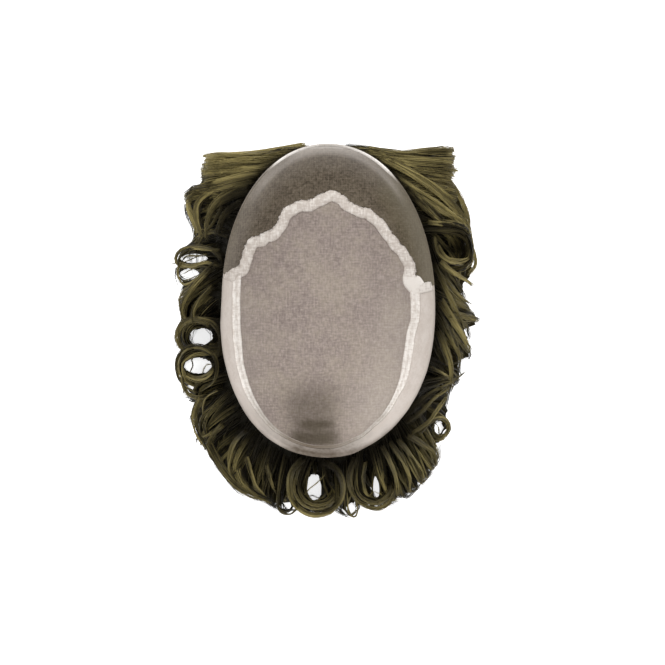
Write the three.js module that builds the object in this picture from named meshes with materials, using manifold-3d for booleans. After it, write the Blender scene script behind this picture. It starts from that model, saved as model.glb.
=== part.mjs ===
// A man's hairpiece, lying crown down on its own hair with the scalp side of the cap open to the top.
// Millimetres, +Z up. The front hairline is towards +Y, and the wearer's hair fans out all round the rim.
// The origin is on the surface that the hair rests on, under the middle of the whole outline.

import * as THREE from 'three';
import { mergeVertices } from 'three/addons/utils/BufferGeometryUtils.js';
import Module from 'manifold-3d';

const wasm = await Module();
wasm.setup();

// Cap: plan of the rim, and the bowl that hangs below it
const CAP_WIDTH = 150.4;
const FRONT_LENGTH = 115;
const BACK_LENGTH = 105;
const FRONT_SQUARENESS = 2.1;
const BACK_SQUARENESS = 2.15;
const CAP_DEPTH = 50;
const CAP_ROUNDNESS = 1.086;
const RIM_HEIGHT = 64;
const RIM_ROLL = 3.5;
const RIM_WAVE = 1.4;

// Cap panels and the ribbons sewn over their seams
const LACE_WALL = 1;
const MONO_WALL = 1;
const FILM_WALL = 1.2;
const SEAM_GAP = 0.5;
const RIBBON_GAP = 0.55;
const SCALLOP_WIDTH = 8;
const SCALLOP_WALL = 1;
const TAPE_WIDTH = 5.2;
const TAPE_WALL = 1;
const BINDING_WIDTH = 2.6;
const BINDING_WALL = 0.8;
const FILM_WIDTH = 15.5;
const LACE_FROM = 12;
const LACE_TO = 162;
const CAP_TURN = 6;

// Hair: the pressed bed under the cap, and the locks that come out all round it
const HAIR_GAP = 0.35;
const BED_GAP = 1.7;
const HAIR_REACH = 50;
const LOCK_TUCK = 9;
const LOCK_WIDTH = 15;
const LOCK_DEPTH = 16;
const CURL_RADIUS = 12;
const CURL_TIGHTENING = 0.15;
const BED_SHARE = 0.97;
const CROWN_SHARE = 0.56;
const PRESSED_SHARE = 0.62;
const BED_LIFT = 9;
const SKIRT_DROP = 10;
const SKIRT_EDGE_TOP = 20;
const SKIRT_EDGE_FLOOR = 3;
const SKIRT_SLOPE = 0.4;
const STEP = 12;
const LOCK_SIDES = 6;

// Scalloped seam between the front lace and the mono top: angle round the cap, share of the rim's radius there
const SCALLOP = [
  { at: 161.6, share: 0.93 }, { at: 155.7, share: 0.83 }, { at: 147.7, share: 0.825 },
  { at: 140.7, share: 0.818 }, { at: 133.2, share: 0.737 }, { at: 125.5, share: 0.675 },
  { at: 119.5, share: 0.668 }, { at: 114, share: 0.69 }, { at: 106.9, share: 0.683 },
  { at: 99.9, share: 0.655 }, { at: 94.2, share: 0.672 }, { at: 88.5, share: 0.697 },
  { at: 83.8, share: 0.684 }, { at: 79.5, share: 0.652 }, { at: 72.5, share: 0.658 },
  { at: 65.7, share: 0.69 }, { at: 58.8, share: 0.705 }, { at: 52.1, share: 0.71 },
  { at: 44.1, share: 0.734 }, { at: 35.3, share: 0.785 }, { at: 27.4, share: 0.812 },
  { at: 19.7, share: 0.794 }, { at: 13.3, share: 0.845 }, { at: 9.1, share: 0.88 },
];

// Plan width of the film round the sides and back, as a share of FILM_WIDTH
const FILM = [
  { at: 161, width: 0.62 }, { at: 180, width: 0.64 }, { at: 201, width: 0.62 }, { at: 214, width: 0.53 },
  { at: 230, width: 0.45 }, { at: 248, width: 0.37 }, { at: 262, width: 0.37 }, { at: 272, width: 0.42 },
  { at: 282, width: 0.57 }, { at: 294, width: 0.75 }, { at: 312, width: 0.87 }, { at: 330, width: 1 },
  { at: 342, width: 1 }, { at: 354, width: 0.83 }, { at: 370, width: 0.84 },
];

// How far the thick under hair stands out from the rim in plan, as a share of HAIR_REACH
const SKIRT = [
  { at: 90, out: 0.02 }, { at: 104, out: 0.1 }, { at: 116, out: 0.46 }, { at: 130, out: 0.5 },
  { at: 145, out: 0.46 }, { at: 154, out: 0.2 }, { at: 164, out: 0.3 }, { at: 174, out: 0.46 },
  { at: 184, out: 0.12 }, { at: 205, out: 0.12 }, { at: 214, out: 0.44 }, { at: 228, out: 0.7 },
  { at: 244, out: 0.62 }, { at: 256, out: 0.5 }, { at: 262, out: 0.16 }, { at: 268, out: 0.16 },
  { at: 275, out: 0.44 }, { at: 283, out: 0.24 }, { at: 290, out: 0.64 }, { at: 306, out: 0.66 },
  { at: 314, out: 0.34 }, { at: 330, out: 0.28 }, { at: 352, out: 0.36 }, { at: 372, out: 0.46 },
  { at: 392, out: 0.5 }, { at: 406, out: 0.46 }, { at: 428, out: 0.5 }, { at: 438, out: 0.14 },
  { at: 450, out: 0.02 },
];

// Zones of the hair bed, by angle round the cap
const ZONES = [
  { name: 'hair_front_left', from: 90, to: 145 },
  { name: 'hair_left', from: 145, to: 228 },
  { name: 'hair_back', from: 228, to: 306 },
  { name: 'hair_right', from: 306, to: 406 },
  { name: 'hair_front_right', from: 406, to: 450 },
];

// Locks. at: angle round the cap where the lock leaves the rim; go: heading there; reach, curl, wide, deep:
// shares of HAIR_REACH, CURL_RADIUS, LOCK_WIDTH and LOCK_DEPTH; bend: degrees turned over the reach;
// turn: degrees turned in the curl; root, end: height of the middle as a share of RIM_HEIGHT; tip: width left.
const LOCKS = [
  { at: 101, go: 184, reach: 1.37, bend: 0, curl: 1, turn: 0, wide: 0.6, deep: 0.65, root: 0.84, end: 0.6, tip: 0.9 },
  { at: 107, go: 178, reach: 1.1, bend: 4, curl: 1, turn: 0, wide: 0.95, deep: 0.75, root: 0.8, end: 0.52, tip: 0.9 },
  { at: 114, go: 181, reach: 0.94, bend: 2, curl: 1, turn: 0, wide: 1, deep: 0.85, root: 0.76, end: 0.44, tip: 0.9 },
  { at: 123, go: 176, reach: 0.8, bend: 8, curl: 0.9, turn: 50, wide: 1.05, deep: 0.95, root: 0.74, end: 0.32, tip: 0.8 },
  { at: 132, go: 172, reach: 0.42, bend: 14, curl: 1.1, turn: 90, wide: 1.05, deep: 1, root: 0.72, end: 0.24, tip: 0.6 },
  { at: 142, go: 176, reach: 0.34, bend: 20, curl: 1.2, turn: 95, wide: 0.95, deep: 1, root: 0.7, end: 0.22, tip: 0.6 },
  { at: 153, go: 155, reach: 0.46, bend: 22, curl: 0.8, turn: 285, wide: 0.4, deep: 0.7, root: 0.66, end: 0.3, tip: 0.5 },
  { at: 161, go: 200, reach: 0.56, bend: 25, curl: 2.2, turn: 75, wide: 1.15, deep: 1.1, root: 0.66, end: 0.2, tip: 0.5 },
  { at: 174, go: 205, reach: 0.4, bend: 30, curl: 1.6, turn: 60, wide: 1, deep: 1.1, root: 0.66, end: 0.2, tip: 0.5 },
  { at: 188, go: 162, reach: 0.28, bend: 20, curl: 0.9, turn: 300, wide: 0.55, deep: 1.2, root: 0.62, end: 0.2, tip: 0.7 },
  { at: 202, go: 171, reach: 0.42, bend: 16, curl: 1.02, turn: 300, wide: 0.6, deep: 1.2, root: 0.62, end: 0.18, tip: 0.7 },
  { at: 214, go: 186, reach: 0.4, bend: 14, curl: 0.82, turn: 230, wide: 0.55, deep: 1, root: 0.64, end: 0.18, tip: 0.6 },
  { at: 222, go: 205, reach: 0.5, bend: 18, curl: 1.4, turn: 100, wide: 1.05, deep: 1.1, root: 0.66, end: 0.16, tip: 0.5 },
  { at: 230, go: 214, reach: 0.56, bend: 20, curl: 1.4, turn: 100, wide: 1.2, deep: 1.1, root: 0.66, end: 0.16, tip: 0.5 },
  { at: 237, go: 224, reach: 0.6, bend: 20, curl: 1.6, turn: 90, wide: 1.2, deep: 1.1, root: 0.66, end: 0.16, tip: 0.5 },
  { at: 243, go: 236, reach: 0.66, bend: 16, curl: 1.5, turn: 85, wide: 1.05, deep: 1.1, root: 0.66, end: 0.16, tip: 0.5 },
  { at: 249, go: 244, reach: 0.72, bend: 14, curl: 1.2, turn: 95, wide: 0.9, deep: 1, root: 0.64, end: 0.16, tip: 0.5 },
  { at: 254, go: 252, reach: 0.84, bend: 14, curl: 0.5, turn: 290, wide: 0.36, deep: 0.5, root: 0.6, end: 0.26, tip: 0.6 },
  { at: 257, go: 256, reach: 0.6, bend: 20, curl: 1.3, turn: 90, wide: 0.85, deep: 1, root: 0.62, end: 0.18, tip: 0.5 },
  { at: 262, go: 236, reach: 0.42, bend: 24, curl: 1.15, turn: 290, wide: 0.75, deep: 1.2, root: 0.6, end: 0.18, tip: 0.7 },
  { at: 277, go: 274, reach: 0.78, bend: -4, curl: 0.34, turn: 310, wide: 0.3, deep: 0.4, root: 0.6, end: 0.3, tip: 0.7 },
  { at: 281, go: 257, reach: 0.48, bend: 20, curl: 1.05, turn: 275, wide: 0.75, deep: 1.2, root: 0.6, end: 0.18, tip: 0.7 },
  { at: 288, go: 282, reach: 0.76, bend: 0, curl: 0.9, turn: 80, wide: 0.75, deep: 0.95, root: 0.64, end: 0.18, tip: 0.5 },
  { at: 293, go: 287, reach: 0.82, bend: 0, curl: 0.9, turn: 80, wide: 0.8, deep: 1, root: 0.65, end: 0.18, tip: 0.5 },
  { at: 298, go: 293, reach: 0.88, bend: 0, curl: 0.9, turn: 80, wide: 0.85, deep: 1, root: 0.66, end: 0.18, tip: 0.5 },
  { at: 303, go: 300, reach: 0.87, bend: -4, curl: 0.9, turn: 70, wide: 0.85, deep: 1, root: 0.66, end: 0.18, tip: 0.5 },
  { at: 308, go: 310, reach: 0.76, bend: -16, curl: 1.2, turn: -50, wide: 1.05, deep: 1, root: 0.66, end: 0.18, tip: 0.5 },
  { at: 313, go: 340, reach: 0.56, bend: -20, curl: 0.55, turn: -295, wide: 0.32, deep: 0.5, root: 0.62, end: 0.3, tip: 0.6 },
  { at: 321, go: 30, reach: 0.26, bend: 0, curl: 1.5, turn: 20, wide: 1.1, deep: 1, root: 0.64, end: 0.2, tip: 0.4 },
  { at: 331, go: 334, reach: 0.4, bend: -12, curl: 0.8, turn: -30, wide: 0.75, deep: 0.9, root: 0.64, end: 0.24, tip: 0.3 },
  { at: 342, go: 294, reach: 0.6, bend: 6, curl: 1, turn: 25, wide: 1, deep: 1, root: 0.62, end: 0.24, tip: 0.3 },
  { at: 356, go: 302, reach: 0.68, bend: 0, curl: 1, turn: -20, wide: 1.15, deep: 1.1, root: 0.64, end: 0.22, tip: 0.5 },
  { at: 366, go: 338, reach: 0.62, bend: -8, curl: 1, turn: 0, wide: 0.85, deep: 0.8, root: 0.68, end: 0.34, tip: 0.8 },
  { at: 376, go: 316, reach: 0.66, bend: 8, curl: 1, turn: 0, wide: 0.95, deep: 0.9, root: 0.68, end: 0.28, tip: 0.5 },
  { at: 388, go: 298, reach: 0.9, bend: -4, curl: 1.6, turn: -20, wide: 1.1, deep: 1.1, root: 0.66, end: 0.22, tip: 0.5 },
  { at: 401, go: 14, reach: 0.5, bend: -24, curl: 1.2, turn: -300, wide: 0.85, deep: 1.3, root: 0.66, end: 0.22, tip: 0.7 },
  { at: 407, go: -12, reach: 0.46, bend: -12, curl: 1.5, turn: -120, wide: 0.95, deep: 1, root: 0.7, end: 0.26, tip: 0.6 },
  { at: 414, go: -26, reach: 0.8, bend: -8, curl: 1.2, turn: -60, wide: 1.05, deep: 1, root: 0.72, end: 0.3, tip: 0.6 },
  { at: 421, go: -14, reach: 0.88, bend: 4, curl: 1, turn: 0, wide: 1, deep: 0.95, root: 0.74, end: 0.38, tip: 0.85 },
  { at: 428, go: -3, reach: 1.02, bend: 3, curl: 1, turn: 0, wide: 0.95, deep: 0.85, root: 0.68, end: 0.42, tip: 0.85 },
  { at: 434, go: -2, reach: 1.2, bend: 4, curl: 1, turn: 0, wide: 0.85, deep: 0.8, root: 0.78, end: 0.5, tip: 0.85 },
  { at: 440, go: -2, reach: 1.4, bend: 5, curl: 1, turn: 0, wide: 0.6, deep: 0.65, root: 0.8, end: 0.56, tip: 0.85 },
];

const COLOURS = {
  lace: '#75675a', mono: '#a3968f', ribbon: '#d9d1c9', film: '#cfc5bb', tape: '#dfd7cf', hair: '#2f2817',
};

const radians = THREE.MathUtils.degToRad;
const lerp = THREE.MathUtils.lerp;

// A table's column at any angle, smooth between its rows
function column(table, key, at) {
  const rows = [...table].sort((a, b) => a.at - b.at);
  if (at <= rows[0].at) return rows[0][key];
  const after = rows.findIndex((row) => row.at >= at);
  if (after < 0) return rows.at(-1)[key];
  const [a, b] = [rows[after - 1], rows[after]];
  const share = (at - a.at) / (b.at - a.at);
  return lerp(a[key], b[key], share * share * (3 - 2 * share));
}

// Radius of the rim in plan
function rimRadius(at) {
  const [c, s] = [Math.cos(radians(at)), Math.sin(radians(at))];
  const length = s > 0 ? FRONT_LENGTH : BACK_LENGTH;
  const power = s > 0 ? FRONT_SQUARENESS : BACK_SQUARENESS;
  return (Math.abs(c / (CAP_WIDTH / 2)) ** power + Math.abs(s / length) ** power) ** (-1 / power);
}

// Outside of the cap: angle round it, and share of the rim's radius
function capPoint(at, share) {
  const radius = rimRadius(at) * share;
  const [x, y] = [radius * Math.cos(radians(at)), radius * Math.sin(radians(at))];
  const flat = Math.sqrt(CAP_ROUNDNESS ** 2 - 1);
  const bowl = (Math.sqrt(Math.max(CAP_ROUNDNESS ** 2 - share ** 2, 0)) - flat) / (CAP_ROUNDNESS - flat);
  const wave = RIM_WAVE * share ** 4 * Math.sin(radians(3 * at + 40));
  const z = RIM_HEIGHT - CAP_DEPTH * bowl - x * Math.tan(radians(RIM_ROLL)) + wave;
  return new THREE.Vector3(x, y, z);
}

// The same point moved along the cap's normal, up and into the bowl
function capOffset(at, share, height) {
  const small = 0.01;
  const held = Math.max(share, small);
  const turn = share < small ? 0 : at;
  const along = capPoint(turn + small, held).sub(capPoint(turn - small, held));
  const out = capPoint(turn, held + small).sub(capPoint(turn, held - small));
  const normal = out.cross(along).normalize();
  return capPoint(turn, share).addScaledVector(normal, height);
}

// Triangles that fill one ring of points, which lies flat and may be hollow-sided
function fillRing(ring) {
  const normal = ring.reduce((sum, p, i) => sum.add(p.clone().cross(ring[(i + 1) % ring.length])), new THREE.Vector3());
  const flat = new THREE.Quaternion().setFromUnitVectors(normal.normalize(), new THREE.Vector3(0, 0, 1));
  const outline = ring.map((p) => {
    const turned = p.clone().applyQuaternion(flat);
    return new THREE.Vector2(turned.x, turned.y);
  });
  return THREE.ShapeUtils.triangulateShape(outline, []).map(([a, b, c]) => {
    const [u, v] = [outline[b].clone().sub(outline[a]), outline[c].clone().sub(outline[a])];
    return u.cross(v) > 0 ? [a, b, c] : [a, c, b];
  });
}

// Closed mesh from rows of rings: each ring is a loop of points, and the two end rings are filled
function sweep(rings) {
  const sides = rings[0].length;
  const points = rings.flat();
  const triangles = [];
  for (let i = 0; i < rings.length - 1; i += 1) {
    for (let j = 0; j < sides; j += 1) {
      const [a, b] = [i * sides + j, i * sides + (j + 1) % sides];
      triangles.push([a, b, b + sides], [a, b + sides, a + sides]);
    }
  }
  const last = (rings.length - 1) * sides;
  triangles.push(...fillRing(rings[0]).map(([a, b, c]) => [a, c, b]));
  triangles.push(...fillRing(rings.at(-1)).map(([a, b, c]) => [a + last, b + last, c + last]));
  return closedMesh(points, triangles);
}

// Merges shared points, drops triangles that have closed up, and turns the faces outward
function closedMesh(points, triangles) {
  const loose = new THREE.BufferGeometry();
  loose.setAttribute('position', new THREE.Float32BufferAttribute(points.flatMap((p) => p.toArray()), 3));
  loose.setIndex(triangles.flat());
  const merged = mergeVertices(loose, 1e-3);
  const [index, place] = [merged.getIndex().array, merged.getAttribute('position')];
  const corner = (i) => new THREE.Vector3().fromBufferAttribute(place, i);
  const kept = [];
  let volume = 0;
  for (let i = 0; i < index.length; i += 3) {
    const [a, b, c] = index.slice(i, i + 3);
    if (a === b || b === c || c === a) continue;
    kept.push([a, b, c]);
    volume += corner(a).dot(corner(b).cross(corner(c)));
  }
  merged.setIndex(kept.flatMap(([a, b, c]) => (volume > 0 ? [a, b, c] : [a, c, b])));
  return merged;
}

function toSolid(geometry) {
  const triVerts = new Uint32Array(geometry.getIndex().array);
  const vertProperties = new Float32Array(geometry.getAttribute('position').array);
  return new wasm.Manifold(new wasm.Mesh({ numProp: 3, vertProperties, triVerts }));
}

function toGeometry(solid) {
  const mesh = solid.getMesh();
  const geometry = new THREE.BufferGeometry();
  geometry.setAttribute('position', new THREE.Float32BufferAttribute(mesh.vertProperties, 3));
  geometry.setIndex([...mesh.triVerts]);
  return geometry;
}

// Angles at which the cap's pieces have their corners: the same ones on both sides of a seam
function capAngles(from, to, turn = CAP_TURN) {
  const angles = [from];
  for (let at = turn * Math.ceil((from + turn / 4) / turn); at < to - turn / 4; at += turn) {
    angles.push(at);
  }
  return [...angles, to];
}

// A panel of the cap: a wall between two plan lines, closed round its edge. across: where its rows lie.
function panel({ from, to, turn, inner, outer, across, low, high }) {
  const rings = [];
  for (const at of capAngles(from, to, turn)) {
    const shares = across.map((t) => lerp(inner(at), outer(at), t));
    const under = shares.map((share) => capOffset(at, share, low));
    const over = shares.map((share) => capOffset(at, share, high));
    rings.push([...under, ...over.reverse()]);
  }
  return sweep(rings);
}

// A whole round panel with its middle closed
function disc({ steps, outer, across, low, high }) {
  const points = [];
  const triangles = [];
  const rows = across.length;
  const place = (i, row, top) => (i % steps) * rows * 2 + row * 2 + top;
  for (let i = 0; i < steps; i += 1) {
    const at = 360 * i / steps;
    for (const t of across) {
      points.push(low(at, t * outer(at)), high(at, t * outer(at)));
    }
  }
  for (let i = 0; i < steps; i += 1) {
    for (let row = 0; row < rows - 1; row += 1) {
      for (const top of [0, 1]) {
        const quad = [place(i, row, top), place(i + 1, row, top), place(i + 1, row + 1, top), place(i, row + 1, top)];
        if (top) quad.reverse();
        triangles.push([quad[0], quad[1], quad[2]], [quad[0], quad[2], quad[3]]);
      }
    }
    const edge = [place(i, rows - 1, 0), place(i + 1, rows - 1, 0), place(i + 1, rows - 1, 1), place(i, rows - 1, 1)];
    triangles.push([edge[0], edge[1], edge[2]], [edge[0], edge[2], edge[3]]);
  }
  return closedMesh(points, triangles);
}

// Plan lines of the seams, as shares of the rim's radius
const wrap = (at) => (at % 360 + 360) % 360;
const inFront = (at) => wrap(at) < LACE_TO && wrap(at) > LACE_FROM;
const scallopLine = (at) => column(SCALLOP, 'share', wrap(at));
const filmAngle = (at) => (wrap(at) < LACE_TO - CAP_TURN ? wrap(at) + 360 : wrap(at));
const filmLine = (at) => 1 - FILM_WIDTH * column(FILM, 'width', filmAngle(at)) / rimRadius(at);
const monoLine = (at) => (inFront(at) ? scallopLine(at) : filmLine(at));
const moved = (line, distance) => (at) => line(at) + distance / rimRadius(at);
const rimLine = () => 1;
const seamTurn = (at) => THREE.MathUtils.radToDeg(SEAM_GAP / rimRadius(at));

function monoTop() {
  return disc({
    steps: 360 / CAP_TURN,
    outer: moved(monoLine, -SEAM_GAP / 2),
    across: [0, 0.44, 0.76, 0.9, 1],
    low: (at, share) => capOffset(at, share, 0),
    high: (at, share) => capOffset(at, share, MONO_WALL),
  });
}

function frontLace() {
  return panel({
    from: LACE_FROM + seamTurn(LACE_FROM), to: LACE_TO - seamTurn(LACE_TO),
    inner: moved(scallopLine, SEAM_GAP / 2), outer: rimLine,
    across: [0, 0.22, 0.58, 0.86, 1], low: 0, high: LACE_WALL,
  });
}

function perimeterFilm() {
  return panel({
    from: LACE_TO, to: LACE_FROM + 360,
    inner: moved(filmLine, SEAM_GAP / 2), outer: rimLine,
    across: [0, 0.35, 0.7, 1], low: 0, high: FILM_WALL,
  });
}

// A ribbon along a seam line, laid over the panels on the scalp side
function ribbon({ from, to, turn, line, width, low, high }) {
  const half = width / 2;
  const sides = (at) => {
    const small = 0.5;
    const slope = (line(at + small) * rimRadius(at + small) - line(at - small) * rimRadius(at - small));
    const tangent = radians(2 * small) * line(at) * rimRadius(at);
    return half * Math.hypot(1, slope / tangent);
  };
  return panel({
    from, to, turn,
    inner: (at) => line(at) - sides(at) / rimRadius(at),
    outer: (at) => Math.min(line(at) + sides(at) / rimRadius(at), 1 - SEAM_GAP / rimRadius(at)),
    across: [0, 1], low, high,
  });
}

function scallopRibbon() {
  const low = Math.max(LACE_WALL, MONO_WALL) + RIBBON_GAP;
  return ribbon({
    from: LACE_FROM + seamTurn(LACE_FROM), to: LACE_TO - seamTurn(LACE_TO), turn: CAP_TURN / 2,
    line: scallopLine, width: SCALLOP_WIDTH, low, high: low + SCALLOP_WALL,
  });
}

function innerTape() {
  const low = Math.max(FILM_WALL, MONO_WALL) + RIBBON_GAP;
  return ribbon({
    from: LACE_TO + seamTurn(LACE_TO), to: LACE_FROM + 360 - seamTurn(LACE_FROM),
    line: filmLine, width: TAPE_WIDTH, low, high: low + TAPE_WALL,
  });
}

function frontBinding() {
  const low = LACE_WALL + RIBBON_GAP;
  return panel({
    from: LACE_FROM + CAP_TURN, to: LACE_TO - CAP_TURN,
    inner: (at) => 1 - BINDING_WIDTH / rimRadius(at), outer: rimLine,
    across: [0, 1], low, high: low + BINDING_WALL,
  });
}

// Everything above the outside of the cap, and a clearance under it: what the hair must stay out of
const capSpace = toSolid(disc({
  steps: 360 / CAP_TURN, outer: rimLine, across: [0, 0.6, 0.75, 0.85, 0.93, 1],
  low: (at, share) => capOffset(at, share, -2 * HAIR_GAP),
  high: (at, share) => capOffset(at, share, -2 * HAIR_GAP).setZ(RIM_HEIGHT + CAP_DEPTH),
}));

// Underside of the hair bed: pressed flat in the middle, lifting towards the rim
function bedFloor(at, share, clear) {
  const lift = Math.max(share - PRESSED_SHARE, 0) / (BED_SHARE - PRESSED_SHARE);
  return capPoint(at, share).setZ(BED_LIFT * lift ** 1.6 - clear);
}

// Top of the bed, just under the cap
function bedTop(at, share, clear) {
  return capOffset(at, share, -BED_GAP).add(new THREE.Vector3(0, 0, clear));
}

function crownBed(clear) {
  const grown = moved(() => CROWN_SHARE, clear);
  return toSolid(disc({
    steps: 36, outer: grown, across: [0, 0.5, 1],
    low: (at, share) => bedFloor(at, share, clear),
    high: (at, share) => bedTop(at, share, clear),
  }));
}

// One zone of the bed, with its skirt: hair that fills the space under the bowl and stands out past the rim
function zoneBed(zone, clear) {
  const [from, to] = [zone.from, zone.to];
  const turn = (at) => THREE.MathUtils.radToDeg(clear / (rimRadius(at) * CROWN_SHARE));
  const grown = clear ? [[from - turn(from)], [to + turn(to)]] : [[], []];
  const rings = [];
  for (const at of [...grown[0], ...capAngles(from, to), ...grown[1]]) {
    const inner = CROWN_SHARE - clear / rimRadius(at);
    const outer = BED_SHARE + clear / rimRadius(at);
    const reach = outer + column(SKIRT, 'out', at) * HAIR_REACH / rimRadius(at);
    const shares = [0, 0.3, 0.65, 1].map((t) => lerp(inner, outer, t));
    const rimTop = bedTop(at, outer, clear);
    const edge = capPoint(at, reach);
    const shoulder = rimTop.clone().lerp(edge, 0.12).setZ(rimTop.z - SKIRT_DROP);
    const knee = rimTop.clone().lerp(edge, 0.7).setZ(lerp(shoulder.z, SKIRT_EDGE_TOP + clear, 0.55));
    const over = [...shares.map((share) => bedTop(at, share, clear)), shoulder, knee];
    const under = shares.map((share) => bedFloor(at, share, clear));
    const droop = SKIRT_SLOPE * (reach - outer) * rimRadius(at);
    edge.setZ(SKIRT_EDGE_TOP + clear);
    under.push(edge.clone().setZ(Math.max(under.at(-1).z - droop, SKIRT_EDGE_FLOOR - clear)));
    rings.push([...under, edge, ...over.reverse()]);
  }
  return toSolid(sweep(rings));
}

const polar = (length, heading) => new THREE.Vector2(length * Math.cos(heading), length * Math.sin(heading));

// Middle line of a lock: out from under the rim on a slow bend, then round its curl
function lockPath(row, clear) {
  let heading = radians(row.go);
  const tuck = LOCK_TUCK + clear;
  const start = polar(rimRadius(row.at), radians(row.at)).sub(polar(tuck, heading));
  const nodes = [{ place: start, heading }];
  const walk = (length, turn) => {
    heading += turn / 2;
    const place = polar(length, heading).add(nodes.at(-1).place);
    heading += turn / 2;
    nodes.push({ place, heading });
  };
  const reach = row.reach * HAIR_REACH + tuck;
  const straight = Math.ceil(reach / (STEP * 1.6));
  for (let i = 0; i < straight; i += 1) {
    walk(reach / straight, radians(row.bend) / straight);
  }
  const bend = nodes.length - 1;
  const curl = row.curl * CURL_RADIUS;
  const arc = Math.abs(radians(row.turn));
  const rounds = Math.ceil(Math.max(arc * curl / STEP, arc / radians(46)));
  for (let i = 0; i < rounds; i += 1) {
    walk(arc / rounds * curl * (1 - CURL_TIGHTENING * (i + 0.5) / rounds), radians(row.turn) / rounds);
  }
  nodes.at(-1).place.add(polar(clear, heading));
  return { nodes, bend };
}

// One section of a lock: a flattened ring, wide across the heading and deep in height
function lockSection(row, node, share, clear) {
  const narrow = lerp(1, row.tip, share ** 1.5);
  const half = row.wide * LOCK_WIDTH / 2 * narrow + clear;
  const deep = row.deep * LOCK_DEPTH / 2 * narrow + clear;
  const height = RIM_HEIGHT * lerp(row.root, row.end, share * share * (3 - 2 * share));
  const middle = Math.max(height, deep + 0.2 - clear);
  const side = new THREE.Vector2(-Math.sin(node.heading), Math.cos(node.heading));
  return Array.from({ length: LOCK_SIDES }, (_, i) => {
    const angle = 2 * Math.PI * (i + 0.5) / LOCK_SIDES;
    const out = side.clone().multiplyScalar(half * Math.cos(angle)).add(node.place);
    return new THREE.Vector3(out.x, out.y, middle + deep * Math.sin(angle));
  });
}

// The lock as a solid: its straight part and its curl overlap by one step and are joined
function lockSolid(row, clear) {
  const { nodes, bend } = lockPath(row, clear);
  const rings = nodes.map((node, i) => lockSection(row, node, i / (nodes.length - 1), clear));
  const straight = toSolid(sweep(rings.slice(0, bend + 1)));
  return row.turn ? straight.add(toSolid(sweep(rings.slice(bend - 1)))) : straight;
}

function zoneHair(zone, clear) {
  const middle = (zone.to - zone.from) / 2;
  const own = LOCKS.filter((row) => {
    const at = row.at < 90 ? row.at + 360 : row.at;
    return Math.abs(at - zone.from - middle) <= middle;
  });
  const locks = own.map((row) => lockSolid(row, clear)).reduce((all, lock) => all.add(lock));
  return zoneBed(zone, clear).add(locks.subtract(capSpace));
}

function material(colour, roughness, opacity = 1) {
  return new THREE.MeshStandardMaterial({
    color: colour, roughness, metalness: 0, opacity, transparent: opacity < 1,
  });
}

const hairpiece = new THREE.Group();

function addPiece(name, geometry, finish) {
  const mesh = new THREE.Mesh(geometry, finish);
  mesh.name = name;
  hairpiece.add(mesh);
}

addPiece('mono_top', monoTop(), material(COLOURS.mono, 0.85));
addPiece('front_lace', frontLace(), material(COLOURS.lace, 0.8));
addPiece('perimeter_film', perimeterFilm(), material(COLOURS.film, 0.4));
addPiece('scallop_ribbon', scallopRibbon(), material(COLOURS.ribbon, 0.7));
addPiece('inner_tape', innerTape(), material(COLOURS.tape, 0.6));
addPiece('front_binding', frontBinding(), material(COLOURS.tape, 0.6));

addPiece('hair_crown', toGeometry(crownBed(0)), material(COLOURS.hair, 0.5));
let taken = crownBed(HAIR_GAP);
for (const zone of ZONES) {
  addPiece(zone.name, toGeometry(zoneHair(zone, 0).subtract(taken)), material(COLOURS.hair, 0.5));
  taken = taken.add(zoneHair(zone, HAIR_GAP));
}

// The origin goes under the middle of the whole outline, on the surface below the hair
const outline = new THREE.Box3().setFromObject(hairpiece);
const centre = outline.getCenter(new THREE.Vector3());
hairpiece.position.set(-centre.x, -centre.y, -outline.min.z);
const part = new THREE.Group();
part.add(hairpiece);

export default part;
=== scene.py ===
# %% [markdown]
# # A men's hairpiece, seen from the scalp side
# The piece lies crown down on its own hair. In the middle is the open cap: a fine net over the crown, a
# darker lace at the front, a clear film round the sides and back, and a frayed ribbon over the seam.
# The hair is tied to the outside of the cap, so it is pressed flat underneath and fans out round the rim.
# Everything is built in one frame, in metres, with the hairline towards +Y and the opening towards +Z.

# %% Load the fixed frame
import math

import bpy
import numpy as np
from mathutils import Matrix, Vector


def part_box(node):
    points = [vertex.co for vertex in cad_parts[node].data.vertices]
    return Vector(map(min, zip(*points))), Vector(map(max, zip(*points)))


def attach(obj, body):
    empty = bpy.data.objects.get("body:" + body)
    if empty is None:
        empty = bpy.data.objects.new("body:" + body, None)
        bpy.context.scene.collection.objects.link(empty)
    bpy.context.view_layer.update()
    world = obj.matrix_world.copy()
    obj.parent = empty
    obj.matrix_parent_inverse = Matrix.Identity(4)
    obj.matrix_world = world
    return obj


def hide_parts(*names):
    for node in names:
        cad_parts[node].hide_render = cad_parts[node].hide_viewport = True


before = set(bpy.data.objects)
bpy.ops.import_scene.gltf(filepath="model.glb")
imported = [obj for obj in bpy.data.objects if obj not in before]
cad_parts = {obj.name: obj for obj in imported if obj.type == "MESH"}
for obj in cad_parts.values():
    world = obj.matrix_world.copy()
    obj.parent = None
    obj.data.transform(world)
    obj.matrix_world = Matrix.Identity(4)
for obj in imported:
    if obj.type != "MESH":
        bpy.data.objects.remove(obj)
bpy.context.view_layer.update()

# %% [markdown]
# ## The measures of the cap
# All pieces of the cap share one bowl, so it is worth writing the bowl down once. A point on it is named by
# its angle round the cap and by its share of the way from the middle to the rim. The numbers are the same
# as the frame's, in millimetres, and the middle of the cap is read from the frame's own boxes.

# %% The bowl
CAP_WIDTH = 150.4
FRONT_LENGTH = 115.0
BACK_LENGTH = 105.0
FRONT_SQUARENESS = 2.1
BACK_SQUARENESS = 2.15
CAP_DEPTH = 50.0
CAP_ROUNDNESS = 1.086
RIM_HEIGHT = 64.0
RIM_ROLL = math.radians(3.5)
RIM_WAVE = 1.4
MM = 0.001

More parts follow.
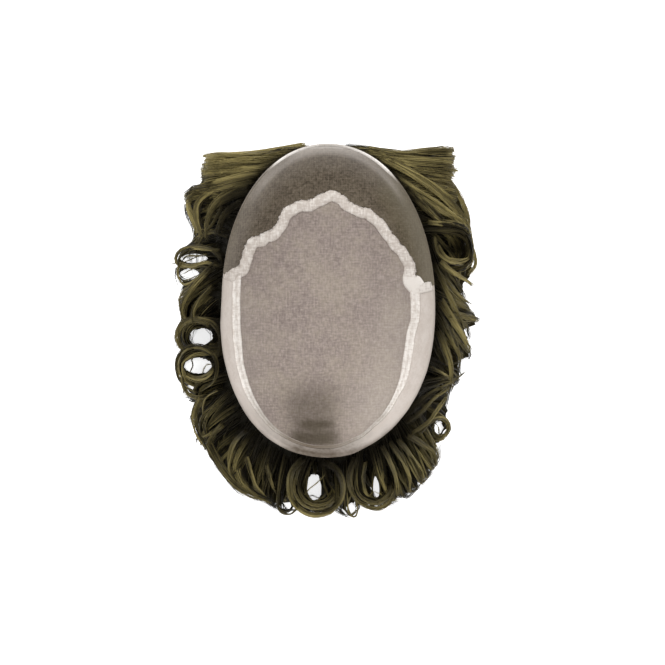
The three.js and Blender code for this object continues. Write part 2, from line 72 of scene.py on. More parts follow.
film_low, film_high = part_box("perimeter_film")
lace_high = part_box("front_lace")[1]
CAP_MIDDLE = np.array([(film_low.x + film_high.x) / 2 / MM, lace_high.y / MM - FRONT_LENGTH, 0.0])
print("middle of the cap in mm:", CAP_MIDDLE.round(2))


def rim_radius(at):
    """Radius of the rim in plan, at an angle in degrees."""
    c, s = np.cos(np.radians(at)), np.sin(np.radians(at))
    length = np.where(s > 0, FRONT_LENGTH, BACK_LENGTH)
    power = np.where(s > 0, FRONT_SQUARENESS, BACK_SQUARENESS)
    return (np.abs(c / (CAP_WIDTH / 2)) ** power + np.abs(s / length) ** power) ** (-1 / power)


def cap_height(at, share, x):
    """Height of the outside of the cap."""
    flat = math.sqrt(CAP_ROUNDNESS**2 - 1)
    bowl = (np.sqrt(np.maximum(CAP_ROUNDNESS**2 - share**2, 0)) - flat) / (CAP_ROUNDNESS - flat)
    wave = RIM_WAVE * share**4 * np.sin(np.radians(3 * at + 40))
    return RIM_HEIGHT - CAP_DEPTH * bowl - x * math.tan(RIM_ROLL) + wave


def cap_point(at, share):
    """Point on the outside of the cap, measured from the cap's middle."""
    at, share = np.broadcast_arrays(np.asarray(at, float), np.asarray(share, float))
    radius = rim_radius(at) * share
    x, y = radius * np.cos(np.radians(at)), radius * np.sin(np.radians(at))
    return np.stack([x, y, cap_height(at, share, x)], -1)


def cap_offset(at, share, height):
    """The same point lifted off the cap, up and into the bowl."""
    at, share = np.broadcast_arrays(np.asarray(at, float), np.asarray(share, float))
    small = 0.01
    held = np.maximum(share, small)
    along = cap_point(at + small, held) - cap_point(at - small, held)
    out = cap_point(at, held + small) - cap_point(at, held - small)
    normal = np.cross(out, along)
    normal /= np.linalg.norm(normal, axis=-1, keepdims=True)
    return cap_point(at, share) + normal * np.asarray(height)[..., None]


def angle_and_share(x, y):
    """Which angle and share a plan point has."""
    at = np.degrees(np.arctan2(y, x)) % 360
    return at, np.hypot(x, y) / rim_radius(at)


# %% [markdown]
# ## The seam lines
# Two lines divide the cap. The scalloped one separates lace from net, and the smooth one separates net from
# film. Each is a short table of angles with a smooth curve through it, so one row can be moved at a time.
# A third table, RIM_OVER, says how many millimetres the cloth rolls over the rim, or stops short of it.

# %% Tables of the seams
SCALLOP = [
    (9.1, 0.88), (13.3, 0.845), (19.7, 0.794), (27.4, 0.812), (35.3, 0.785), (44.1, 0.734), (52.1, 0.71),
    (58.8, 0.705), (65.7, 0.69), (72.5, 0.658), (79.5, 0.652), (83.8, 0.684), (88.5, 0.697), (94.2, 0.672),
    (99.9, 0.655), (106.9, 0.683), (114, 0.69), (119.5, 0.668), (125.5, 0.675), (133.2, 0.737),
    (140.7, 0.818), (147.7, 0.825), (155.7, 0.83), (161.6, 0.93),
]
FILM = [
    (161, 0.62), (180, 0.64), (201, 0.62), (214, 0.53), (230, 0.45), (248, 0.37), (262, 0.37), (272, 0.42),
    (282, 0.57), (294, 0.75), (312, 0.87), (330, 1.0), (342, 1.0), (354, 0.83), (370, 0.84),
]
RIM_OVER = [
    (90, 0.9), (140, 0.8), (166, 0.3), (174, 0.2), (182, 0.6), (190, 1.3), (206, 1.9), (225, 2.2), (232, 2.4),
    (242, 2.1), (252, 1.3), (262, 0.6), (270, 0.6), (278, 0.3), (286, -1.0), (294, -1.1), (302, -0.8),
    (310, -0.3), (318, 0.3), (330, 0.9), (450, 0.9),
]
FILM_WIDTH = 15.5
LACE_FROM, LACE_TO = 12.0, 162.0


def column(table, at):
    """A table's value at any angle, smooth between its rows."""
    rows, values = np.array(table, float).T
    at = np.clip(at, rows[0], rows[-1])
    i = np.clip(np.searchsorted(rows, at, side="right") - 1, 0, len(rows) - 2)
    t = (at - rows[i]) / (rows[i + 1] - rows[i])
    return values[i] + (values[i + 1] - values[i]) * t * t * (3 - 2 * t)


def scallop_line(at):
    return column(SCALLOP, np.asarray(at, float) % 360)


def film_line(at):
    turned = np.asarray(at, float) % 360
    turned = np.where(turned < LACE_TO - 6, turned + 360, turned)
    return 1 - FILM_WIDTH * column(FILM, turned) / rim_radius(at)


def rim_share(at):
    """The share at which the cap's cloth ends: it rolls a little way over the rim."""
    turned = np.asarray(at, float) % 360
    turned = np.where(turned < 90, turned + 360, turned)
    return 1 + column(RIM_OVER, turned) / rim_radius(at)


def smooth(x, low, high):
    """0 below low, 1 above high, and an S curve between."""
    t = np.clip((np.asarray(x, float) - low) / (high - low), 0, 1)
    return t * t * (3 - 2 * t)


# %% [markdown]
# ## From numbers to a mesh
# Cloth and hair are both rows of points, and Blender takes such rows fastest as whole arrays. One helper
# writes the points, the faces, and two named attributes that the materials read: "grain" says where a point
# is across and along its thread or strand and how light that strand is, partly painted highlight, and "shade"
# how much painted shade a strand takes where it lies deep, or how far a cloth turns to a second colour.

# %% The mesh helper
MAP_NAME = "OFBake"


def make_piece(name, points, quads, triangles, grain, shade, corners=None):
    """One mesh object from arrays, points in millimetres from the cap's middle."""
    quads = np.asarray(quads, np.int32).reshape(-1, 4)
    triangles = np.asarray(triangles, np.int32).reshape(-1, 3)
    mesh = bpy.data.meshes.new(name)
    mesh.vertices.add(len(points))
    mesh.vertices.foreach_set("co", ((points + CAP_MIDDLE) * MM).astype(np.float32).ravel())
    loops = np.concatenate([quads.ravel(), triangles.ravel()])
    mesh.loops.add(len(loops))
    mesh.loops.foreach_set("vertex_index", loops)
    mesh.polygons.add(len(quads) + len(triangles))
    starts = np.concatenate([np.arange(len(quads)) * 4, len(quads) * 4 + np.arange(len(triangles)) * 3])
    mesh.polygons.foreach_set("loop_start", starts.astype(np.int32))
    mesh.polygons.foreach_set("use_smooth", np.ones(len(starts), bool))
    mesh.update(calc_edges=True)
    grain_layer = mesh.attributes.new("grain", "FLOAT_VECTOR", "POINT")
    grain_layer.data.foreach_set("vector", grain.astype(np.float32).ravel())
    shade_layer = mesh.attributes.new("shade", "FLOAT", "POINT")
    shade_layer.data.foreach_set("value", shade.astype(np.float32).ravel())
    if corners is not None:
        mesh.uv_layers.new(name=MAP_NAME).data.foreach_set("uv", corners[loops].astype(np.float32).ravel())
    piece = bpy.data.objects.new(name, mesh)
    bpy.context.scene.collection.objects.link(piece)
    print(name, "triangles:", 2 * len(quads) + len(triangles))
    return piece


def grid_faces(rows, columns, closed=False, first=0):
    """Quads of a sheet of rows by columns points. closed joins the last row to the first."""
    i = np.arange(rows if closed else rows - 1)[:, None]
    j = np.arange(columns - 1)[None, :]
    a, b = i * columns + j, (i + 1) % rows * columns + j
    return first + np.stack([a, b, b + 1, a + 1], -1).reshape(-1, 4)


# %% [markdown]
# ## Effects that several finishes share
# A woven net, cloudy unevenness and the streaks of hair each turn up in more than one material, so each is a
# node group with named inputs. The groups only give out values and colours. The shader stays in the material.

# %% Node helpers
def add_node(tree, kind, **settings):
    made = tree.nodes.new("ShaderNode" + kind)
    for key, value in settings.items():
        setattr(made, key, value)
    return made


def feed(tree, socket, value):
    """Link a socket to another, or set it to a number or colour."""
    if isinstance(value, bpy.types.NodeSocket):
        tree.links.new(value, socket)
    else:
        socket.default_value = value


def work(tree, operation, *values):
    made = add_node(tree, "Math", operation=operation)
    for socket, value in zip(made.inputs, values):
        feed(tree, socket, value)
    return made.outputs[0]


def blend(tree, share, first, second, kind="MIX"):
    """Mix two colours."""
    made = add_node(tree, "Mix", data_type="RGBA", blend_type=kind)
    feed(tree, made.inputs[0], share)
    feed(tree, made.inputs[6], first)
    feed(tree, made.inputs[7], second)
    return made.outputs[2]


def ramp(tree, value, low, high, to_low=0.0, to_high=1.0):
    made = add_node(tree, "MapRange", interpolation_type="SMOOTHSTEP")
    feed(tree, made.inputs["Value"], value)
    for name, number in (("From Min", low), ("From Max", high), ("To Min", to_low), ("To Max", to_high)):
        feed(tree, made.inputs[name], number)
    return made.outputs["Result"]


def group(name, inputs, outputs):
    """A new node group with float or colour sockets."""
    tree = bpy.data.node_groups.new(name, "ShaderNodeTree")
    for label, value in inputs:
        kind = "Vector" if value is None else "Color" if isinstance(value, tuple) else "Float"
        socket = tree.interface.new_socket(label, in_out="INPUT", socket_type="NodeSocket" + kind)
        if value is not None:
            socket.default_value = value
    for label, kind in outputs:
        tree.interface.new_socket(label, in_out="OUTPUT", socket_type="NodeSocket" + kind)
    return tree, tree.nodes.new("NodeGroupInput").outputs, tree.nodes.new("NodeGroupOutput").inputs


def place_group(tree, made, **values):
    """Put a group in a material with its own values, and give its outputs."""
    box = tree.nodes.new("ShaderNodeGroup")
    box.node_tree = made
    for label, value in values.items():
        feed(tree, box.inputs[label.replace("_", " ")], value)
    return box.outputs


def colour(red, green, blue):
    """A colour as read off a screen, 0 to 255, made linear."""
    made = []
    for value in (red, green, blue):
        v = value / 255
        made.append(v / 12.92 if v <= 0.04045 else ((v + 0.055) / 1.055) ** 2.4)
    return (*made, 1.0)


# %% Woven net: threads both ways, each a little wavy and uneven
def woven_net():
    tree, given, out = group(
        "woven net",
        [("Place", None), ("Pitch", 1.1), ("Waver", 0.4), ("Unevenness", 0.5)],
        [("Threads", "Float"), ("Slubs", "Float"), ("Height", "Float")],
    )
    split = add_node(tree, "SeparateXYZ")
    feed(tree, split.inputs[0], given["Place"])
    sway = add_node(tree, "TexNoise")
    feed(tree, sway.inputs["Vector"], given["Place"])
    feed(tree, sway.inputs["Scale"], 90.0)
    feed(tree, sway.inputs["Detail"], 2.0)
    bent = work(tree, "MULTIPLY", work(tree, "SUBTRACT", sway.outputs["Fac"], 0.5), given["Waver"])
    turns = work(tree, "DIVIDE", 2 * math.pi * 1000, given["Pitch"])
    waves, dashes = [], []
    for axis in (0, 1):
        run = work(tree, "MULTIPLY", split.outputs[axis], turns)
        swung = work(tree, "ADD", run, work(tree, "MULTIPLY", bent, 14.0))
        waves.append(work(tree, "SINE", swung))
        long_way = add_node(tree, "CombineXYZ")
        for k in (0, 1):
            feed(tree, long_way.inputs[k], work(tree, "MULTIPLY", split.outputs[k], 860.0 if k == axis else 230.0))
        dash = add_node(tree, "TexNoise")
        feed(tree, dash.inputs["Vector"], long_way.outputs[0])
        feed(tree, dash.inputs["Scale"], 1.0)
        feed(tree, dash.inputs["Detail"], 1.0)
        dashes.append(dash.outputs["Fac"])
    top = work(tree, "MAXIMUM", waves[0], waves[1])
    feed(tree, out["Threads"], ramp(tree, top, -0.1, 0.8))
    slubs = work(tree, "MULTIPLY", work(tree, "SUBTRACT", work(tree, "ADD", dashes[0], dashes[1]), 1.0), 1.6)
    feed(tree, out["Slubs"], work(tree, "MULTIPLY", slubs, given["Unevenness"]))
    feed(tree, out["Height"], top)
    return tree


# %% Cloudy patches: slow, soft unevenness at two scales
def cloudy_patches():
    tree, given, out = group(
        "cloudy patches", [("Place", None), ("Size", 12.0), ("Strength", 0.3)], [("Value", "Float")]
    )
    parts = []
    for factor in (1.0, 5.0):
        cloud = add_node(tree, "TexNoise")
        feed(tree, cloud.inputs["Vector"], given["Place"])
        feed(tree, cloud.inputs["Scale"], work(tree, "DIVIDE", 1000.0 * factor, given["Size"]))
        feed(tree, cloud.inputs["Detail"], 3.0)
        parts.append(work(tree, "SUBTRACT", cloud.outputs["Fac"], 0.5))
    total = work(tree, "ADD", parts[0], work(tree, "MULTIPLY", parts[1], 0.6))
    feed(tree, out["Value"], work(tree, "MULTIPLY", total, work(tree, "MULTIPLY", given["Strength"], 2.0)))
    return tree


# %% Hair streaks: a colour for each strand, streaked along it, with painted shade where it lies deep
def hair_streaks():
    tree, given, out = group(
        "hair streaks",
        [("Grain", None), ("Shade", 1.0), ("Dark", (0.01, 0.008, 0.004, 1.0)), ("Light", (0.2, 0.17, 0.08, 1.0)),
         ("Fineness", 60.0)],
        [("Colour", "Color"), ("Streak", "Float")],
    )
    split = add_node(tree, "SeparateXYZ")
    feed(tree, split.inputs[0], given["Grain"])
    lengthwise = add_node(tree, "CombineXYZ")
    feed(tree, lengthwise.inputs[0], work(tree, "MULTIPLY", split.outputs[0], given["Fineness"]))
    feed(tree, lengthwise.inputs[1], work(tree, "MULTIPLY", split.outputs[1], 2.5))
    streak = add_node(tree, "TexNoise")
    feed(tree, streak.inputs["Vector"], lengthwise.outputs[0])
    feed(tree, streak.inputs["Scale"], 1.0)
    feed(tree, streak.inputs["Detail"], 3.0)
    uneven = work(tree, "MULTIPLY", work(tree, "SUBTRACT", streak.outputs["Fac"], 0.5), 1.1)
    light = work(tree, "ADD", split.outputs[2], uneven)
    lit = work(tree, "MULTIPLY", ramp(tree, light, 0.0, 1.15), given["Shade"])
    feed(tree, out["Colour"], blend(tree, lit, given["Dark"], given["Light"]))
    feed(tree, out["Streak"], streak.outputs["Fac"])
    return tree


WOVEN, CLOUDY, STREAKS = woven_net(), cloudy_patches(), hair_streaks()
print("node groups:", [t.name for t in (WOVEN, CLOUDY, STREAKS)])


# %% [markdown]
# ## Finishes
# The net and the lace are sheer: between their threads one looks down on the dark hair. So their gaps are
# half open, and their threads carry the pale colour. The film is a smooth skin, clouded by what is under it.

# %% Starting a finish
def finish(name, roughness, specular=0.35):
    made = bpy.data.materials.new(name)
    made.use_nodes = True
    tree = made.node_tree
    shader = tree.nodes["Principled BSDF"]
    shader.inputs["Roughness"].default_value = roughness
    shader.inputs["Specular IOR Level"].default_value = specular
    return made, tree, shader.inputs


def seat(tree):
    """Where a point is on the object, in metres."""
    return add_node(tree, "TexCoord").outputs["Object"]


def read(tree, name, output="Fac"):
    return add_node(tree, "Attribute", attribute_name=name).outputs[output]


def raise_by(tree, sockets, height, distance, strength=0.5):
    bump = add_node(tree, "Bump")
    feed(tree, bump.inputs["Height"], height)
    bump.inputs["Distance"].default_value = distance
    bump.inputs["Strength"].default_value = strength
    feed(tree, sockets["Normal"], bump.outputs["Normal"])


# %% Sheer cloths: net and lace
def sheer_cloth(name, thread, gap, shaded, tint, warm, pitch, openness, uneven, cloud, cloud_size, speckle):
    made, tree, sockets = finish(name, 0.85, 0.2)
    place = seat(tree)
    weave = place_group(tree, WOVEN, Place=place, Pitch=pitch, Waver=0.35, Unevenness=uneven)
    clouds = place_group(tree, CLOUDY, Place=place, Size=cloud_size, Strength=cloud)["Value"]
    specks = place_group(tree, CLOUDY, Place=place, Size=1.8, Strength=speckle)["Value"]
    shade = read(tree, "shade")
    fine = work(tree, "ADD", work(tree, "MULTIPLY", weave["Threads"], 0.2), specks)
    level = work(tree, "ADD", fine, work(tree, "ADD", weave["Slubs"], clouds))
    cover = ramp(tree, level, -0.6, 1.0)
    cloth = blend(tree, cover, gap, thread)
    parts = add_node(tree, "SeparateXYZ")
    feed(tree, parts.inputs[0], read(tree, "grain", "Vector"))
    cloth = blend(tree, ramp(tree, clouds, -0.12, 0.2, 0.0, 0.45), cloth, warm)
    cloth = blend(tree, parts.outputs[2], cloth, tint)
    cloth = blend(tree, shade, cloth, shaded)
    feed(tree, sockets["Base Color"], cloth)
    held = work(tree, "MAXIMUM", ramp(tree, level, -0.3, 0.7, 1 - openness, 1.0), shade)
    feed(tree, sockets["Alpha"], held)
    raise_by(tree, sockets, weave["Height"], 0.0002, 0.4)
    return made


# The net's tint is the pale colour of the painted light that net_light puts on it.
NET = sheer_cloth(
    "crown net", thread=colour(166, 153, 147), gap=colour(126, 114, 108), shaded=colour(62, 54, 38),
    tint=colour(190, 180, 170), warm=colour(160, 150, 132), pitch=1.1, openness=0.1, uneven=0.7, cloud=0.3,
    cloud_size=24.0, speckle=0.55,
)
LACE = sheer_cloth(
    "front lace", thread=colour(128, 116, 102), gap=colour(62, 54, 42), shaded=colour(206, 198, 190),
    tint=colour(92, 84, 56), warm=colour(112, 103, 86), pitch=1.25, openness=0.14, uneven=0.3, cloud=0.25,
    cloud_size=12.0, speckle=0.65,
)


# %% Ribbon, tape and film
def felted_ribbon(name, high, low, dull, streaky):
    """A pale woven ribbon with a fibrous face. streaky adds painted lengthwise highlights, as on a folded edge."""
    made, tree, sockets = finish(name, 0.75, 0.25)
    place = seat(tree)
    weave = place_group(tree, WOVEN, Place=place, Pitch=0.9, Waver=0.6, Unevenness=0.7)
    clouds = place_group(tree, CLOUDY, Place=place, Size=5.0, Strength=0.5)["Value"]
    rough = work(tree, "ADD", weave["Slubs"], clouds)
    level = work(tree, "ADD", work(tree, "MULTIPLY", weave["Threads"], 0.15), rough)
    if streaky:
        fold = add_node(tree, "SeparateXYZ")
        feed(tree, fold.inputs[0], read(tree, "grain", "Vector"))
        level = work(tree, "ADD", level, work(tree, "MULTIPLY", fold.outputs[2], 1.0))
    cloth = blend(tree, ramp(tree, level, -0.3, 0.8), low, high)
    cloth = blend(tree, read(tree, "shade"), cloth, dull)
    feed(tree, sockets["Base Color"], cloth)
    raise_by(tree, sockets, level, 0.0003, 0.5)
    return made


def clear_film(name, body, edge, clouded):
    made, tree, sockets = finish(name, 0.42, 0.45)
    place = seat(tree)
    clouds = place_group(tree, CLOUDY, Place=place, Size=10.0, Strength=0.5)["Value"]
    fine = place_group(tree, CLOUDY, Place=place, Size=2.0, Strength=0.25)["Value"]
    parts = add_node(tree, "SeparateXYZ")
    feed(tree, parts.inputs[0], read(tree, "grain", "Vector"))
    skin = blend(tree, ramp(tree, work(tree, "ADD", clouds, fine), -0.4, 0.5), body, edge)
    skin = blend(tree, parts.outputs[2], skin, edge)
    under = ramp(tree, work(tree, "ADD", read(tree, "shade"), work(tree, "MULTIPLY", clouds, 0.5)), 0.05, 1.0)
    feed(tree, sockets["Base Color"], blend(tree, under, skin, clouded))
    feed(tree, sockets["Roughness"], ramp(tree, fine, -0.2, 0.2, 0.34, 0.52))
    feed(tree, sockets["Alpha"], ramp(tree, work(tree, "ADD", fine, read(tree, "shade")), -0.2, 1.4, 0.97, 0.8))
    raise_by(tree, sockets, fine, 0.0004, 0.35)
    return made


RIBBON = felted_ribbon("seam ribbon", colour(232, 226, 219), colour(192, 182, 173), colour(120, 108, 94), True)
TAPE = felted_ribbon("folded edge tape", colour(240, 235, 229), colour(206, 197, 188), colour(108, 97, 84), True)
BINDING = felted_ribbon("edge binding", colour(244, 239, 233), colour(208, 199, 190), colour(112, 102, 88), True)
FILM_SKIN = clear_film("clear perimeter film", colour(197, 186, 176), colour(224, 216, 209), colour(84, 72, 56))


# %% Hair
def hair_finish(name, dark, light, fineness, roughness, shine):
    made, tree, sockets = finish(name, roughness, 0.4)
    sockets["Specular IOR Level"].default_value = shine
    sockets["Specular Tint"].default_value = (1.0, 0.88, 0.6, 1.0)
    streaks = place_group(tree, STREAKS, Grain=read(tree, "grain", "Vector"), Shade=read(tree, "shade"),
                          Dark=dark, Light=light, Fineness=fineness)
    feed(tree, sockets["Base Color"], streaks["Colour"])
    feed(tree, sockets["Roughness"], ramp(tree, streaks["Streak"], 0.2, 0.8, roughness - 0.06, roughness + 0.1))
    raise_by(tree, sockets, streaks["Streak"], 0.0005, 0.5)
    return made


HAIR = hair_finish("olive brown hair", colour(10, 7, 3), colour(172, 158, 104), 60.0, 0.42, 0.22)
# The under hair is the same hair with darker colours and less shine: painted shade for the hearts, the bed, the mat
# and the crown.
SHADED_UNDER_HAIR = hair_finish("shaded under hair", colour(6, 5, 2), colour(94, 85, 52), 60.0, 0.75, 0.1)


# %% [markdown]
# ## The cap's sheets
# Net, lace and film are thin cloths stretched on the bowl. Each is a sheet of points between two lines on
# the bowl, fine enough to look smooth, and each runs a little way under the ribbon that hides its seam.

# %% Sheets on the bowl
def cap_sheet(name, angles, inner, outer, rows, lift, closed, look, shade_at, light_at):
    t = np.linspace(0, 1, rows)
    share = inner[:, None] + (outer - inner)[:, None] * t[None, :]
    at = np.repeat(angles[:, None], rows, 1)
    points = cap_offset(at, share, np.full(at.shape, lift)).reshape(-1, 3)
    grain = np.stack([share, at / 360, light_at(at, share)], -1).reshape(-1, 3)
    piece = make_piece(name, points, grid_faces(len(angles), rows, closed), [], grain, shade_at(at, share).ravel())
    piece.data.materials.append(look)
    return piece


def soft_box(x, y, middle_x, half_x, middle_y, half_y, soft=2.0):
    """1 inside a box with soft sides, 0 outside."""
    across = smooth(half_x - np.abs(x - middle_x), -soft, soft)
    return across * smooth(half_y - np.abs(y - middle_y), -soft * 0.4, soft * 0.4)


def net_shade(at, share):
    """Hair lies close under the net at the back: a wide dim place, two dark patches and two pale lines."""
    p = cap_point(at, share)
    x, y = p[..., 0], p[..., 1]
    wide = smooth(18 - np.abs(x + 11.5), -10, 10) * smooth(-y, 44, 72)
    high = np.exp(-(((x + 12) / 30) ** 2 + ((y + 66) / 20) ** 2))
    upper = soft_box(x, y, -8.5, 13, -83.0, 4.2, 4.5)
    lower = soft_box(x, y, -9.6, 17.5, -92.3, 4.5, 6.0)
    first = np.exp(-(((y + 78.4 + 0.012 * (x + 8) ** 2) / 0.8) ** 2)) * smooth(14 - np.abs(x + 8), -3, 3)
    second = np.exp(-(((y + 87.2 - 0.012 * (x + 10) ** 2) / 0.7) ** 2)) * smooth(16 - np.abs(x + 10), -3, 3)
    return np.clip(0.4 * wide + 0.18 * high + 0.35 * upper + 0.42 * lower - 0.16 * first - 0.17 * second, 0, 0.85)


def net_light(at, share):
    """Painted light: the net is paler towards the right and lower right, and a little on the left."""
    p = cap_point(at, share)
    right = smooth(p[..., 0], 12, 62) * smooth(-p[..., 1], -60, 30)
    low = np.exp(-(((p[..., 0] - 32) / 22) ** 2 + ((p[..., 1] + 72) / 26) ** 2))
    left = 0.5 * smooth(-p[..., 0], 34, 66) * smooth(-p[..., 1], -40, 10)
    return np.clip(0.42 * right + 0.3 * low + 0.35 * left + 0.08, 0, 0.8)


SEAM_LAP, NET_LIFT, LACE_LIFT, FILM_LIFT = 1.5, 0.8, 1.0, 1.1
full_turn = np.arange(0, 360, 2.0)
net_line = np.where(
    (full_turn > LACE_FROM) & (full_turn < LACE_TO), scallop_line(full_turn), film_line(full_turn)
) + SEAM_LAP / rim_radius(full_turn)
net_middle = np.full(len(full_turn), 0.0008)
net = cap_sheet("mono_top_net", full_turn, net_middle, net_line, 44, NET_LIFT, True, NET, net_shade, net_light)


def lace_shade(at, share):
    """The front edge of the lace is doubled and pale, and its steep sides look denser."""
    inside = (1 - share) * rim_radius(at)
    front = smooth(at, 52, 74) * (1 - smooth(at, 112, 140))
    doubled = np.exp(-(((inside - 4.6) / 1.9) ** 2)) * (0.3 * smooth(at, 50, 66) * (1 - smooth(at, 116, 130)))
    washed = np.exp(-((inside / 3.2) ** 2)) * (0.3 + 0.65 * smooth(at, 70, 84) * (1 - smooth(at, 98, 108))) * front
    sides = 0.17 * smooth(share, 0.8, 0.98)
    return np.clip(doubled + washed + sides, 0, 0.95)


def lace_olive(at, share):
    """Olive hair shows through the steep right side of the lace, and a little at the left rim."""
    right = smooth(share, 0.72, 0.98) * (1 - smooth(at, 60, 74))
    left = 0.25 * smooth(share, 0.9, 1.0) * smooth(at, 110, 130)
    return np.clip(0.75 * right + left, 0, 0.8)


lace_angles = np.arange(LACE_FROM, LACE_TO + 0.1, 1.5)
lace = cap_sheet("front_lace_sheet", lace_angles, scallop_line(lace_angles) - SEAM_LAP / rim_radius(lace_angles),
                 rim_share(lace_angles), 24, LACE_LIFT, False, LACE, lace_shade, lace_olive)

# %% The film, with how dull it is by angle where it lies on hair
DULL_FILM = [
    (222, 0), (230, 0.24), (238, 0.42), (246, 0.46), (254, 0.66), (262, 0.74), (270, 0.78), (278, 0.62),
    (286, 0.42), (294, 0.28), (302, 0.12), (310, 0),
]


def film_shade(at, share):
    """The narrow film at the back lies on hair, so it looks darker and olive there.
    Its edge, where it rolls over the rim, gets painted shade.
    """
    inside = (1 - share) * rim_radius(at)
    back = np.where(at < 320, column(DULL_FILM, at), 0)
    # Painted shade where the film rolls away over the rim.
    rolled_edge_shade = np.exp(-(np.maximum((rim_share(at) - share) * rim_radius(at) - 0.4, 0) / 1.1))
    clear_edge = 0.3 * np.exp(-((inside / 2.6) ** 2)) * (1 - smooth(at, 250, 256))
    dark_line = 0.15 * np.exp(-(((inside - 1.8) / 0.9) ** 2))
    return np.clip(back * (0.9 - clear_edge + dark_line) + 0.42 * rolled_edge_shade * (1 - back), 0, 1)


def film_light(at, share):
    """A pale doubled line a little way in from the film's edge."""
    inside = (1 - share) * rim_radius(at)
    return 0.25 + 0.25 * np.exp(-(((inside - 5.0) / 1.6) ** 2))


film_angles = np.arange(LACE_TO, LACE_FROM + 360.1, 2.0)
film = cap_sheet("perimeter_film_band", film_angles, film_line(film_angles) - SEAM_LAP / rim_radius(film_angles),
                 rim_share(film_angles), 22, FILM_LIFT, False, FILM_SKIN, film_shade, film_light)

# %% [markdown]
# ## Ribbons and tapes
# A ribbon follows a line on the bowl at its full width, so it is laid out in plan first: steps along the
# line, and points to both sides at right angles. A raised middle and a thin edge make it look sewn down,
# and a ragged outline with loose fibres makes the scalloped one look cut and frayed, as the real one does.

# %% Laying a strip along a line
def walk_line(line, start, stop, step):
    """Evenly spaced plan points on a line of the bowl, with their outward directions."""
    fine = np.linspace(start, stop, 4000)
    p = cap_point(fine, line(fine))[:, :2]
    run = np.concatenate([[0], np.cumsum(np.linalg.norm(np.diff(p, axis=0), axis=1))])
    along = np.linspace(0, run[-1], int(run[-1] / step) + 1)
    centre = np.stack([np.interp(along, run, p[:, k]) for k in (0, 1)], -1)
    kernel = np.ones(7) / 7
    for k in (0, 1):
        centre[3:-3, k] = np.convolve(centre[:, k], kernel, "valid")
    ahead = np.gradient(centre, axis=0)
    ahead /= np.linalg.norm(ahead, axis=1, keepdims=True)
    return centre, np.stack([ahead[:, 1], -ahead[:, 0]], -1), along


def wander(along, scale, seed):
    """Smooth random unevenness along a line, about -1 to 1."""
    own = np.random.default_rng(seed)
    knots = own.uniform(-1, 1, int(along[-1] / scale) + 3)
    return np.interp(along / scale, np.arange(len(knots)), knots)


def strip(name, centre, outward, along, inner, outer, profile, low, look, shade, light):
    """A closed ribbon: its top follows profile across, and its underside is flat."""
    across = np.linspace(0, 1, np.shape(profile)[-1])
    reach = -inner[:, None] + (outer + inner)[:, None] * across[None, :]
    plan = centre[:, None, :] + outward[:, None, :] * reach[..., None]
    at, share = angle_and_share(plan[..., 0], plan[..., 1])
    share = np.minimum(share, rim_share(at))
    top = cap_offset(at, share, low + np.broadcast_to(profile, at.shape))
    under = cap_offset(at, share, np.full(at.shape, low))
    ring = np.concatenate([top, under[:, ::-1]], 1)
    n, m = ring.shape[:2]
    i, j = np.arange(n - 1)[:, None], np.arange(m)[None, :]
    a, b = i * m + j, i * m + (j + 1) % m
    quads = np.stack([a, b, b + m, a + m], -1).reshape(-1, 4)
    ends = []
    for first in (0, (n - 1) * m):
        for k in range(len(across) - 1):
            ends.append([first + k, first + m - 1 - k, first + m - 2 - k, first + k + 1])
    both = np.concatenate([across, across[::-1]])
    lit = light(both[None, :], along[:, None])
    grain = np.stack(np.broadcast_arrays(both[None, :], along[:, None] / 10, lit), -1).reshape(-1, 3)
    tone = np.repeat(shade[:, None], m, 1).ravel()
    piece = make_piece(name, ring.reshape(-1, 3), np.concatenate([quads, ends]), [], grain, tone)
    piece.data.materials.append(look)
    return piece


# %% The scalloped seam ribbon and its loose fibres
centre, outward, along = walk_line(scallop_line, LACE_FROM - 2.0, LACE_TO - 0.5, 0.5)
teeth = 0.45 * wander(along, 1.7, 1) + 0.35 * wander(along, 0.8, 2) + 0.5 * wander(along, 9, 3)
heal = 0.15 * wander(along, 2.5, 4) + 0.35 * wander(along, 12, 5)
lobe = 2.2 * np.exp(-((along - 7) / 6) ** 2)
ribbon_profile = np.array([0.05, 0.5, 0.75, 0.85, 0.9, 0.85, 0.75, 0.5, 0.05])
RIBBON_BACK, RIBBON_FRONT, RIBBON_LOW = 3.7, 4.0, 1.3
# The light term paints the ribbon lighter near its start, at the lobe: a painted highlight.
ribbon = strip("scallop_seam_ribbon", centre, outward, along, RIBBON_BACK + heal + lobe,
               RIBBON_FRONT + teeth + 1.4 * lobe, ribbon_profile, RIBBON_LOW, RIBBON, np.zeros(len(along)),
               lambda across, run: 1.3 * np.exp(-(((run - 6) / 8) ** 2)))


def side_seam(name, at, start, half, seed):
    """The short end of the seam, from the ribbon's end out to the rim."""
    share = np.linspace(start, 0.992, 24)
    middle = cap_point(at, share)[:, :2]
    run = np.linalg.norm(middle - middle[0], axis=1)
    across = np.array([-math.sin(math.radians(at)), math.cos(math.radians(at))])
    rough = half + 0.25 * wander(run, 1.2, seed)
    # The right seam end is painted lighter: a painted highlight.
    return strip(name, middle, np.repeat(across[None, :], 24, 0), run, rough, rough, ribbon_profile, 1.32,
                 RIBBON, np.zeros(24), lambda across, run: 0.5 if at < 90 else 0.0)


left_seam = side_seam("left_seam_end", LACE_TO + 0.6, 0.9, 2.6, 8)
right_seam = side_seam("right_seam_end", LACE_FROM - 0.2, 0.86, 3.4, 9)


